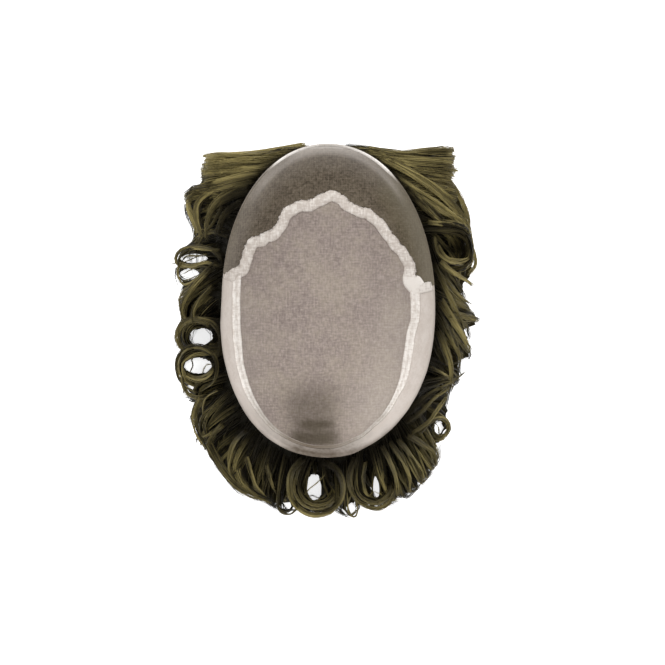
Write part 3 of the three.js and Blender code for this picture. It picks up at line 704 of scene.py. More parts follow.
def fibres(name, centre, outward, along, count, start, long, look, seed):
    """Short loose threads that stand out of a cut edge."""
    own = np.random.default_rng(seed)
    pick = own.integers(2, len(along) - 2, count)
    base = centre[pick] + outward[pick] * (start[pick] - 0.6)[:, None]
    lean = np.stack([outward[pick, 1], -outward[pick, 0]], -1) * own.normal(0, 0.55, (count, 1))
    heading = outward[pick] + lean
    length = own.uniform(0.5, 1.0, count) * long
    points, thick = [], 0.09
    for step in (0, 0.5, 1):
        plan = base + heading * (length * step)[:, None]
        at, share = angle_and_share(plan[:, 0], plan[:, 1])
        middle = cap_offset(at, np.minimum(share, 1), 1.75 - 0.45 * step + own.normal(0, 0.1, count))
        side = np.stack([-heading[:, 1], heading[:, 0], np.zeros(count)], -1) * thick * (1.1 - step * 0.6)
        rise = np.array([0, 0, thick * (1.6 - step)])
        points.append(np.stack([middle - side, middle + side, middle + rise], 1))
    points = np.stack(points, 1).reshape(-1, 3)
    i = (np.arange(count) * 9)[:, None, None]
    ring, corner = np.arange(2)[None, :, None] * 3, np.arange(3)[None, None, :]
    a, b = i + ring + corner, i + ring + (corner + 1) % 3
    quads = np.stack([a, b, b + 3, a + 3], -1).reshape(-1, 4)
    caps = (np.arange(count) * 9)[:, None] + np.array([[0, 2, 1], [6, 7, 8]]).reshape(1, -1)
    piece = make_piece(name, points, quads, caps.reshape(-1, 3), np.zeros((len(points), 3)), np.zeros(len(points)))
    piece.data.materials.append(look)
    return piece


fray = fibres("scallop_ribbon_fibres", centre, outward, along, 620, RIBBON_BACK + teeth + lobe, 1.5, RIBBON, 6)

# %% The folded tape round the film, narrow at the back
TAPE_HALF = [
    (160, 2.4), (200, 2.5), (222, 2.2), (240, 1.3), (256, 0.75), (284, 0.8), (304, 1.5), (322, 2.6), (372, 2.9),
]
DULL_TAPE = [
    (222, 0), (230, 0.2), (238, 0.5), (246, 0.62), (254, 0.92), (262, 1), (270, 0.95), (278, 0.8), (286, 0.55),
    (296, 0.45), (304, 0.1), (312, 0),
]
tape_centre, tape_out, tape_along = walk_line(film_line, LACE_TO - 1.6, LACE_FROM + 360.5, 1.0)
tape_at = np.degrees(np.arctan2(tape_centre[:, 1], tape_centre[:, 0])) % 360
tape_at = np.where(tape_at < 100, tape_at + 360, tape_at)
tape_half = column(TAPE_HALF, tape_at) + 0.12 * wander(tape_along, 6, 7)
tape_profile = np.array([0.05, 0.45, 0.62, 0.6, 0.5, 0.48, 0.52, 0.6, 0.6, 0.42, 0.05])
tape_dim = column(DULL_TAPE, tape_at)


# Painted highlights along the two raised ridges of the fold.
def fold_lights(across, run):
    return 0.3 * np.exp(-(((across - 0.22) / 0.15) ** 2)) + 0.25 * np.exp(-(((across - 0.78) / 0.14) ** 2)) + 0.03


tape = strip("inner_edge_tape", tape_centre, tape_out, tape_along, tape_half, 1.3 * tape_half, tape_profile, 1.35,
             TAPE, tape_dim, fold_lights)

# %% The bright binding along the front edge
edge_centre, edge_out, edge_along = walk_line(lambda at: np.ones(np.shape(at)), 19.0, 155.0, 0.8)
edge_centre = edge_centre - edge_out * 0.1
edge_at = np.degrees(np.arctan2(edge_centre[:, 1], edge_centre[:, 0]))
fade = smooth(edge_at, 59, 68) * (1 - smooth(edge_at, 108, 116))
edge_half = 0.2 + 0.6 * fade + 0.4 * smooth(-edge_at, -84, -60) * fade
edge_profile = np.array([0.05, 0.45, 0.6, 0.45, 0.05]) * (0.2 + 0.8 * fade)[:, None]
edge_dim = np.clip(1 - fade + 0.5 * np.exp(-(((edge_at - 90) / 11) ** 2)), 0, 1)
binding = strip("front_edge_binding", edge_centre, edge_out, edge_along, edge_half, edge_half, edge_profile, 1.05,
                BINDING, edge_dim, lambda across, run: 0.5)

# %% [markdown]
# ## The locks
# Each lock is one row of a table: where it leaves the rim, which way it heads, how far it runs, and how it
# curls at the end. A strand is not drawn by hand. A lock parts into clumps that each go their own way a
# little, and a strand follows its clump, sways, and tapers. Closed three-sided tubes are used and not hair
# curves, because the finished part has to be plain mesh.

# %% The lock table
HAIR_REACH, LOCK_TUCK, LOCK_WIDTH, LOCK_DEPTH, CURL_RADIUS, CURL_TIGHTENING = 50.0, 9.0, 15.0, 16.0, 12.0, 0.15
LOCK_COLUMNS = ("at", "go", "reach", "bend", "curl", "turn", "wide", "deep", "root", "end", "tip", "light", "count")
# The light column is how light a lock is painted: partly its own tone, partly painted highlight.
LOCKS = [
    (101, 184, 1.37, 0, 1, 0, 0.6, 0.65, 0.84, 0.6, 0.9, 0.88, 150),
    (107, 178, 1.1, 4, 1, 0, 0.95, 0.75, 0.8, 0.52, 0.9, 0.9, 240),
    (114, 181, 0.94, 2, 1, 0, 1, 0.85, 0.76, 0.44, 0.9, 0.6, 240),
    (123, 176, 0.8, 8, 0.9, 50, 1.05, 0.95, 0.74, 0.32, 0.8, 0.5, 240),
    (132, 172, 0.42, 14, 1.1, 90, 1.05, 1, 0.72, 0.24, 0.6, 0.3, 200),
    (142, 176, 0.34, 20, 1.2, 95, 0.95, 1, 0.7, 0.22, 0.6, 0.25, 180),
    (153, 155, 0.46, 22, 0.8, 285, 0.4, 0.7, 0.66, 0.3, 0.5, 0.4, 60),
    (161, 200, 0.56, 25, 2.2, 75, 1.15, 1.1, 0.66, 0.2, 0.5, 0.42, 240),
    (174, 205, 0.4, 30, 1.6, 60, 1, 1.1, 0.66, 0.2, 0.5, 0.4, 200),
    (188, 162, 0.32, 20, 0.9, 300, 0.55, 1.2, 0.62, 0.2, 0.7, 0.3, 190),
    (202, 171, 0.42, 16, 1.02, 300, 0.6, 1.2, 0.62, 0.18, 0.7, 0.4, 190),
    (214, 186, 0.4, 14, 0.82, 230, 0.55, 1, 0.64, 0.18, 0.6, 0.35, 150),
    (222, 205, 0.5, 18, 1.4, 100, 1.05, 1.1, 0.66, 0.16, 0.5, 0.35, 220),
    (230, 214, 0.56, 20, 1.4, 100, 1.2, 1.1, 0.66, 0.16, 0.5, 0.3, 230),
    (237, 224, 0.6, 20, 1.6, 90, 1.2, 1.1, 0.66, 0.16, 0.5, 0.3, 230),
    (243, 236, 0.66, 16, 1.5, 85, 1.05, 1.1, 0.66, 0.16, 0.5, 0.35, 210),
    (249, 244, 0.72, 14, 1.2, 95, 0.9, 1, 0.64, 0.16, 0.5, 0.3, 180),
    (254, 252, 0.84, 14, 0.5, 290, 0.36, 0.5, 0.6, 0.26, 0.6, 0.3, 50),
    (257, 256, 0.6, 20, 1.3, 90, 0.85, 1, 0.62, 0.18, 0.5, 0.3, 170),
    (262, 236, 0.42, 24, 1.15, 290, 0.75, 1.2, 0.6, 0.18, 0.7, 0.4, 220),
    (277, 274, 0.78, -4, 0.34, 310, 0.3, 0.4, 0.6, 0.3, 0.7, 0.45, 34),
    (281, 257, 0.48, 20, 1.05, 275, 0.75, 1.2, 0.6, 0.18, 0.7, 0.4, 200),
    (288, 282, 0.76, 0, 0.9, 80, 0.75, 0.95, 0.64, 0.18, 0.5, 0.4, 150),
    (293, 287, 0.82, 0, 0.9, 80, 0.8, 1, 0.65, 0.18, 0.5, 0.42, 160),
    (298, 293, 0.88, 0, 0.9, 80, 0.85, 1, 0.66, 0.18, 0.5, 0.45, 160),
    (303, 300, 0.87, -4, 0.9, 70, 0.85, 1, 0.66, 0.18, 0.5, 0.45, 160),
    (308, 310, 0.76, -16, 1.2, -50, 1.05, 1, 0.66, 0.18, 0.5, 0.5, 200),
    (313, 340, 0.56, -20, 0.55, -295, 0.32, 0.5, 0.62, 0.3, 0.6, 0.55, 50),
    (321, 30, 0.26, 0, 1.5, 20, 1.1, 1, 0.64, 0.2, 0.4, 0.5, 190),
    (331, 334, 0.4, -12, 0.8, -30, 0.75, 0.9, 0.64, 0.24, 0.3, 0.4, 160),
    (342, 294, 0.6, 6, 1, 25, 1, 1, 0.62, 0.24, 0.3, 0.4, 200),
    (356, 302, 0.68, 0, 1, -20, 1.15, 1.1, 0.64, 0.22, 0.5, 0.5, 230),
    (366, 338, 0.62, -8, 1, 0, 0.85, 0.8, 0.68, 0.34, 0.8, 0.55, 180),
    (376, 316, 0.66, 8, 1, 0, 0.95, 0.9, 0.68, 0.28, 0.5, 0.5, 200),
    (388, 298, 0.9, -4, 1.6, -20, 1.1, 1.1, 0.66, 0.22, 0.5, 0.5, 230),
    (401, 14, 0.5, -24, 1.2, -300, 0.85, 1.3, 0.66, 0.22, 0.7, 0.4, 220),
    (407, -12, 0.46, -12, 1.5, -120, 0.95, 1, 0.7, 0.26, 0.6, 0.55, 220),
    (414, -26, 0.8, -8, 1.2, -60, 1.05, 1, 0.72, 0.3, 0.6, 0.65, 230),
    (421, -14, 0.88, 4, 1, 0, 1, 0.95, 0.74, 0.38, 0.85, 0.65, 230),
    (428, -3, 1.02, 3, 1, 0, 0.95, 0.85, 0.68, 0.42, 0.85, 0.7, 230),
    (434, -2, 1.2, 4, 1, 0, 0.85, 0.8, 0.78, 0.5, 0.85, 0.68, 210),
    (440, -2, 1.4, 5, 1, 0, 0.6, 0.65, 0.8, 0.56, 0.85, 0.62, 150),
]
ZONES = [("hair_front_left", 90, 145), ("hair_left", 145, 228), ("hair_back", 228, 306), ("hair_right", 306, 406),
         ("hair_front_right", 406, 450)]
STRAND_SHARE, STRAND_THICK, UNDER_THICK, WISP_THICK = 0.8, 0.22, 0.27, 0.2
BLUNT = {101, 107, 114, 123, 421, 428, 434, 440}

# %% [markdown]
# ## Where the hair ends, where shade is painted on it, and where it is open
# FRINGE is how far the hair stands out past the rim, and DARK is how deep the rim's painted shadow runs into it,
# both in millimetres by angle. HOLES are the clear eyes of the ringlets, which hair goes round, and POCKETS
# are places between locks that get painted shade. Both are ellipses in pixels of the picture: a middle, then
# half the width and height. A pixel is PIXEL millimetres, and the cap's middle lies at PICTURE_X and PICTURE_Y.

# %% Fringe, shadow, ringlet eyes and pockets
FRINGE = [
    (90, 0), (96, 1), (102, 5.5), (108, 7.5), (111, 10), (114, 14), (117, 19.5), (120, 24.5), (123, 31.5),
    (126, 38.5), (129, 44.5), (132, 44.3), (135, 40), (138, 44), (141, 46), (144, 42.5), (147, 36),
    (150, 27.5), (153, 25.7), (156, 29.6), (159, 35.5), (162, 37.3), (165, 35.2), (168, 34), (171, 30.6),
    (174, 32.4), (177, 32), (180, 28.5), (186, 27.5), (189, 34.5), (192, 36), (195, 34.5), (198, 35),
    (201, 38), (204, 38.3), (210, 37), (213, 34.5), (216, 33), (219, 40.8), (225, 44.3), (231, 42.2),
    (237, 43.6), (243, 46.4), (249, 44.3), (252, 42.5), (258, 46), (261, 41.8), (267, 44), (270, 42.2),
    (273, 39), (276, 45.7), (279, 40), (285, 44.6), (294, 45.7), (300, 43.2), (306, 39.4), (309, 34.5),
    (315, 34.5), (318, 29.2), (324, 22), (328, 22), (333, 27.5), (337, 24), (342, 30.6), (348, 27.8),
    (351, 25), (354, 32.4), (357, 33.4), (360, 26.4), (366, 23.3), (369, 23.6), (375, 32), (384, 33),
    (390, 34.8), (396, 38.3), (405, 36.9), (408, 42.5), (411, 49.5), (414, 44.6), (417, 36), (420, 28.5),
    (423, 21), (426, 15.6), (429, 11.7), (432, 9.3), (435, 6.5), (438, 4.4), (441, 2.6), (446, 0), (450, 0),
]
DARK = [
    (90, 1), (106, 3), (114, 9), (130, 17), (150, 16), (166, 13), (182, 10), (205, 12), (222, 22), (240, 29),
    (256, 24), (270, 18), (288, 22), (302, 26), (320, 20), (334, 14), (350, 13), (372, 11), (396, 12),
    (414, 6), (430, 3), (450, 1),
]
PIXEL, PICTURE_SIZE, PICTURE_X, PICTURE_Y = 0.70, 665, 328, 308
HOLES = [
    (190.5, 256.5, 11.5, 4), (185.5, 273, 8.5, 4.6), (197.8, 337, 10.5, 7.6), (194.8, 366.5, 12.5, 6.6),
    (188, 388, 4, 2.5), (314, 491, 6.5, 11), (352, 513, 3.5, 5), (377, 491, 3.5, 10.5), (441, 430, 3.8, 5.6),
    (463, 222, 2.5, 4), (286, 510, 5, 3),
]
POCKETS = [
    (457, 247, 16, 9), (215, 239, 10, 7), (211, 271, 7, 8), (300, 484, 4, 14), (328, 484, 4, 12), (366, 480, 4, 12),
    (391, 480, 4, 12), (232, 205, 12, 10), (244, 428, 12, 14),
]


def from_photo(x, y):
    """A place in the picture as millimetres from the cap's middle."""
    return (np.asarray(x, float) - PICTURE_X) * PIXEL, (PICTURE_Y - np.asarray(y, float)) * PIXEL


def around(x, y):
    """Angle from 90 to 450 and the distance beyond the rim, for plan points."""
    at, share = angle_and_share(x, y)
    at = np.where(at < 90, at + 360, at)
    return at, (share - 1) * rim_radius(at)


def in_hole(x, y, grow=1.0):
    inside = np.zeros(np.shape(x), bool)
    for px, py, rx, ry in HOLES:
        hx, hy = from_photo(px, py)
        wide, tall = max(rx * PIXEL + grow, 0.8), max(ry * PIXEL + grow, 0.8)
        inside |= ((x - hx) / wide) ** 2 + ((y - hy) / tall) ** 2 < 1
    return inside


def depth_shade(points):
    """Painted shade: 1 on the open face of the hair, near 0 in the shadow under the rim and in the
    pockets between locks, and darker low down near the table.
    """
    at, beyond = around(points[..., 0], points[..., 1])
    dark = column(DARK, at)
    open_to_light = 1.0
    for px, py, rx, ry in POCKETS:
        hx, hy = from_photo(px, py)
        d = ((points[..., 0] - hx) / (rx * PIXEL)) ** 2 + ((points[..., 1] - hy) / (ry * PIXEL)) ** 2
        open_to_light = open_to_light * (1 - 0.85 * np.exp(-(d**2)))
    clear_of_rim = 0.03 + 0.97 * smooth(beyond, 0.1 * dark, 1.35 * dark)
    # Painted shade: hair low down near the table is darker.
    high_up = 0.45 + 0.55 * smooth(points[..., 2], 2, 22)
    return open_to_light * clear_of_rim * high_up


# %% The middle line of a lock
def lock_line(row, fine=200):
    """Plan points, heading, height and share along a lock: a slow bend, then a curl that tightens."""
    straight = row["reach"] * HAIR_REACH + LOCK_TUCK
    arc, curl = abs(math.radians(row["turn"])), row["curl"] * CURL_RADIUS
    total = straight + arc * curl * (1 - CURL_TIGHTENING / 2)
    s = np.linspace(0, total, fine)
    q = np.clip((s - straight) / max(arc * curl, 1e-6), 0, 1)
    g = (1 - np.sqrt(np.maximum(1 - 2 * CURL_TIGHTENING * q, 0))) / CURL_TIGHTENING if arc else q * 0
    heading = np.radians(row["go"] + row["bend"] * np.clip(s / straight, 0, 1) + row["turn"] * g)
    step = np.diff(s, prepend=0)
    middle = (heading + np.concatenate([[heading[0]], heading[:-1]])) / 2
    at, radius = math.radians(row["at"]), rim_radius(row["at"])
    x = radius * math.cos(at) - LOCK_TUCK * math.cos(heading[0]) + np.cumsum(step * np.cos(middle))
    y = radius * math.sin(at) - LOCK_TUCK * math.sin(heading[0]) + np.cumsum(step * np.sin(middle))
    t = s / total
    deep = row["deep"] * LOCK_DEPTH / 2 * (1 + (row["tip"] - 1) * t**1.5)
    z = np.maximum(RIM_HEIGHT * (row["root"] + (row["end"] - row["root"]) * t * t * (3 - 2 * t)), deep + 0.2)
    return x, y, z, heading, t, total


def drawn_line(places, fine=200):
    """The same for a wisp drawn through places of the picture. It lies on top of the locks."""
    px, py = from_photo(*np.array(places, float).T)
    u = np.linspace(0, len(px) - 1, 40 * len(px))
    curves = []
    for line in (px, py):
        slope = np.gradient(line)
        i = np.clip(u.astype(int), 0, len(px) - 2)
        f = u - i
        curves.append(line[i] * (2 * f**3 - 3 * f**2 + 1) + line[i + 1] * (3 * f**2 - 2 * f**3)
                      + slope[i] * (f**3 - 2 * f**2 + f) + slope[i + 1] * (f**3 - f**2))
    run = np.concatenate([[0], np.cumsum(np.hypot(*np.diff(curves, axis=1)))])
    s = np.linspace(0, run[-1], fine)
    x, y = (np.interp(s, run, line) for line in curves)
    z = 53 - 31 * smooth(around(x, y)[1], 0, 42)
    return x, y, z, np.unwrap(np.arctan2(np.gradient(y), np.gradient(x))), s / run[-1], run[-1]


# %% Keeping hair in the fringe, round the ringlet eyes, under the cap and off the table
def turn_in(x, y, slack=0.0):
    """Hair that would pass the fringe bends along it."""
    at, beyond = around(x, y)
    most = np.maximum(column(FRINGE, at) + 0.6 + slack, 0.5)
    room = np.minimum(7.0, 0.5 * most) + 0.1
    over = np.maximum(beyond - (most - room), 0)
    back = over - room * np.tanh(over / room)
    r = np.hypot(x, y)
    return x * (r - back) / r, y * (r - back) / r


def pass_eyes(x, y):
    """Hair near a ringlet's eye passes round it."""
    for px, py, rx, ry in HOLES:
        hx, hy = from_photo(px, py)
        d = np.sqrt(((x - hx) / (rx * PIXEL)) ** 2 + ((y - hy) / (ry * PIXEL)) ** 2)
        grow = np.where(d < 1.3, (0.92 + 0.292 * d) / np.maximum(d, 0.05), 1.0)
        x, y = hx + (x - hx) * grow, hy + (y - hy) * grow
    return x, y


def crosses_eye(x, y):
    """Which strands run through the middle of a ringlet's eye."""
    return in_hole(x, y, -1.2).any(axis=1)


def settle(points, lift=0.35, free=False, slack=0.0):
    """Presses points down where the cap is over them, and up off the table."""
    x, y, z = points[..., 0], points[..., 1], points[..., 2]
    if not free:
        x, y = pass_eyes(*turn_in(x, y, slack))
    at, share = angle_and_share(x, y)
    under = cap_height(at, np.minimum(share, 1), x) - 1.8 + np.maximum(share - 1, 0) * rim_radius(at) * 1.2
    soft = 1.2
    z = -soft * np.logaddexp(-z / soft, -under / soft)
    z = lift + soft * np.logaddexp((z - lift) / soft, 0)
    return np.stack([x, y, z], -1)


# %% From strand lines to tubes
def tube_mesh(lines, thick):
    """Three-sided tubes along lines of shape (strands, points, 3)."""
    count, n = lines.shape[:2]
    ahead = np.gradient(lines, axis=1)
    ahead /= np.linalg.norm(ahead, axis=2, keepdims=True) + 1e-9
    side = np.cross(ahead, [0.0, 0.0, 1.0])
    side /= np.linalg.norm(side, axis=2, keepdims=True) + 1e-6
    rise = np.cross(side, ahead)
    corners = []
    for k in range(3):
        turn = math.pi / 2 + 2 * math.pi * k / 3
        corners.append(lines + (side * math.cos(turn) + rise * math.sin(turn)) * thick[..., None])
    points = np.stack(corners, 2).reshape(-1, 3)
    i = (np.arange(count) * n * 3)[:, None, None]
    ring, corner = np.arange(n - 1)[None, :, None] * 3, np.arange(3)[None, None, :]
    a, b = i + ring + corner, i + ring + (corner + 1) % 3
    quads = np.stack([a, a + 3, b + 3, b], -1).reshape(-1, 4)
    first = np.arange(count) * n * 3
    last = first + (n - 1) * 3
    caps = np.stack([first, first + 1, first + 2, last, last + 2, last + 1], 1).reshape(-1, 3)
    return points, quads, caps


# %% Strands of one clump
def comb(line, own, count, half, deep, seat, tip, light, steps, thick, blunt, stray, limit, free, sheen_at):
    """Strands that follow one line. seat is where the clump sits in the lock's section, -1 to 1 both ways."""
    x, y, z, heading, share, total = line
    radius, angle = np.sqrt(own.uniform(0, 1, count)), own.uniform(0, 2 * math.pi, count)
    wild = own.uniform(0, 1, count) < stray
    ends = 1 - np.abs(own.normal(0, 0.03 if blunt else 0.09, count))
    ends = np.clip(ends, 0.55, 1) * limit
    starts = own.uniform(0, 0.06, count)
    t = starts[:, None] + (ends - starts)[:, None] * np.linspace(0, 1, steps)[None, :]
    close = (0.36 if blunt else 0.34 - 0.2 * smooth(t, 0.25, 1.0)) * np.where(wild, 2.3, 1.0)[:, None]
    roll = angle[:, None] + own.normal(0.6, 0.5) * t
    u = seat[0] * (1 - 0.25 * t) + close * radius[:, None] * np.cos(roll)
    v = seat[1] * (1 - 0.25 * t) + close * radius[:, None] * np.sin(roll)
    narrow = 1 + (tip - 1) * t**1.5
    sway = np.sin(t * own.uniform(3, 6) + own.uniform(0, 6.3)) * own.normal(0, 0.8) * t
    fuzz = 0.0
    each = (count, 1)
    for _ in range(2):
        ripple = np.sin(t * own.uniform(5, 20, each) + own.uniform(0, 6.3, each))
        fuzz = fuzz + ripple * own.normal(0, 0.26, each)
    px, py, pz, ph = (np.interp(t, share, values) for values in (x, y, z, heading))
    sideways = u * half * narrow + sway + fuzz * (0.3 + t)
    height = pz + v * deep * narrow + fuzz * 0.5
    lines = np.stack([px - np.sin(ph) * sideways, py + np.cos(ph) * sideways, height], -1)
    stay = ~crosses_eye(lines[..., 0], lines[..., 1]) | (own.uniform(0, 1, count) < 0.04) | free
    lines = settle(lines, 0.35, free, own.normal(0, 1.1, (count, 1)).clip(-2, 2.5))
    taper = thick * own.uniform(0.75, 1.25, (count, 1)) * (1 - (0.2 if blunt else 0.75) * smooth(t, 0.7, 1.0))
    # sheen_at places a painted sheen: a lighter band part way along each strand.
    tone = light + own.normal(0, 0.09, count)[:, None] + 0.2 * np.exp(-(((t - sheen_at) / 0.17) ** 2)) - 0.08
    # Painted shade: strands low in the lock's section, and those at the edge of their clump, come out darker.
    clump_edge_shade = 1 - 0.3 * smooth(radius, 0.55, 1.0)
    shade = depth_shade(lines) * (0.55 + 0.45 * smooth(v, -0.9, 0.5)) * clump_edge_shade[:, None]
    grain = np.stack(np.broadcast_arrays(own.uniform(0, 1, (count, 1)), t * total / 40, tone), -1)
    return lines[stay], taper[stay], grain[stay], shade[stay]


def lock_strands(row, count, own, thick=STRAND_THICK, stray=0.07, trim=False):
    """All strands of a lock, clump by clump."""
    ring, blunt = abs(row["turn"]) > 150, row["at"] in BLUNT
    count = int(count * STRAND_SHARE)
    clumps = int(np.clip(count / 11, 2, 16))
    steps = int(np.clip(5 + row["reach"] * 3 + abs(row["turn"]) / 20, 7, 19))
    loose = 0.35 if ring else 0.5 if blunt else 1.0
    start, made, sheen_at = own.uniform(0, 6.3), [], own.normal(0.58, 0.1)
    for k in range(clumps):
        mine = dict(row)
        mine["go"] += own.normal(0, 5.0) * (0.8 if blunt else loose)
        mine["bend"] += own.normal(0, 7.0) * loose
        mine["reach"] *= 1 + own.normal(0, 0.05) * (0.5 if blunt else loose)
        mine["curl"] *= 1 + own.normal(0, 0.14) * loose
        mine["turn"] += own.normal(0, 30 if ring else 0 if blunt else 16)
        mine["end"] += own.normal(0, 0.03)
        line = lock_line(mine)
        limit = 1.0
        if trim:
            out = in_hole(line[0], line[1], 0.0) & (around(line[0], line[1])[1] > 2)
            limit = float(line[4][np.argmax(out)]) if out.any() else 1.0
            if limit < 0.25:
                continue
        far = 0.66 * math.sqrt((k + 0.5) / clumps)
        seat = (far * math.cos(start + 2.4 * k), far * math.sin(start + 2.4 * k))
        half, deep = mine["wide"] * LOCK_WIDTH / 2, mine["deep"] * LOCK_DEPTH / 2
        light = mine["light"] - 0.04 + own.normal(0, 0.19)
        made.append(comb(line, own, int(count / clumps), half, deep, seat, mine["tip"], light, steps, thick, blunt,
                         stray, limit, False, sheen_at + own.normal(0, 0.05)))
    return made
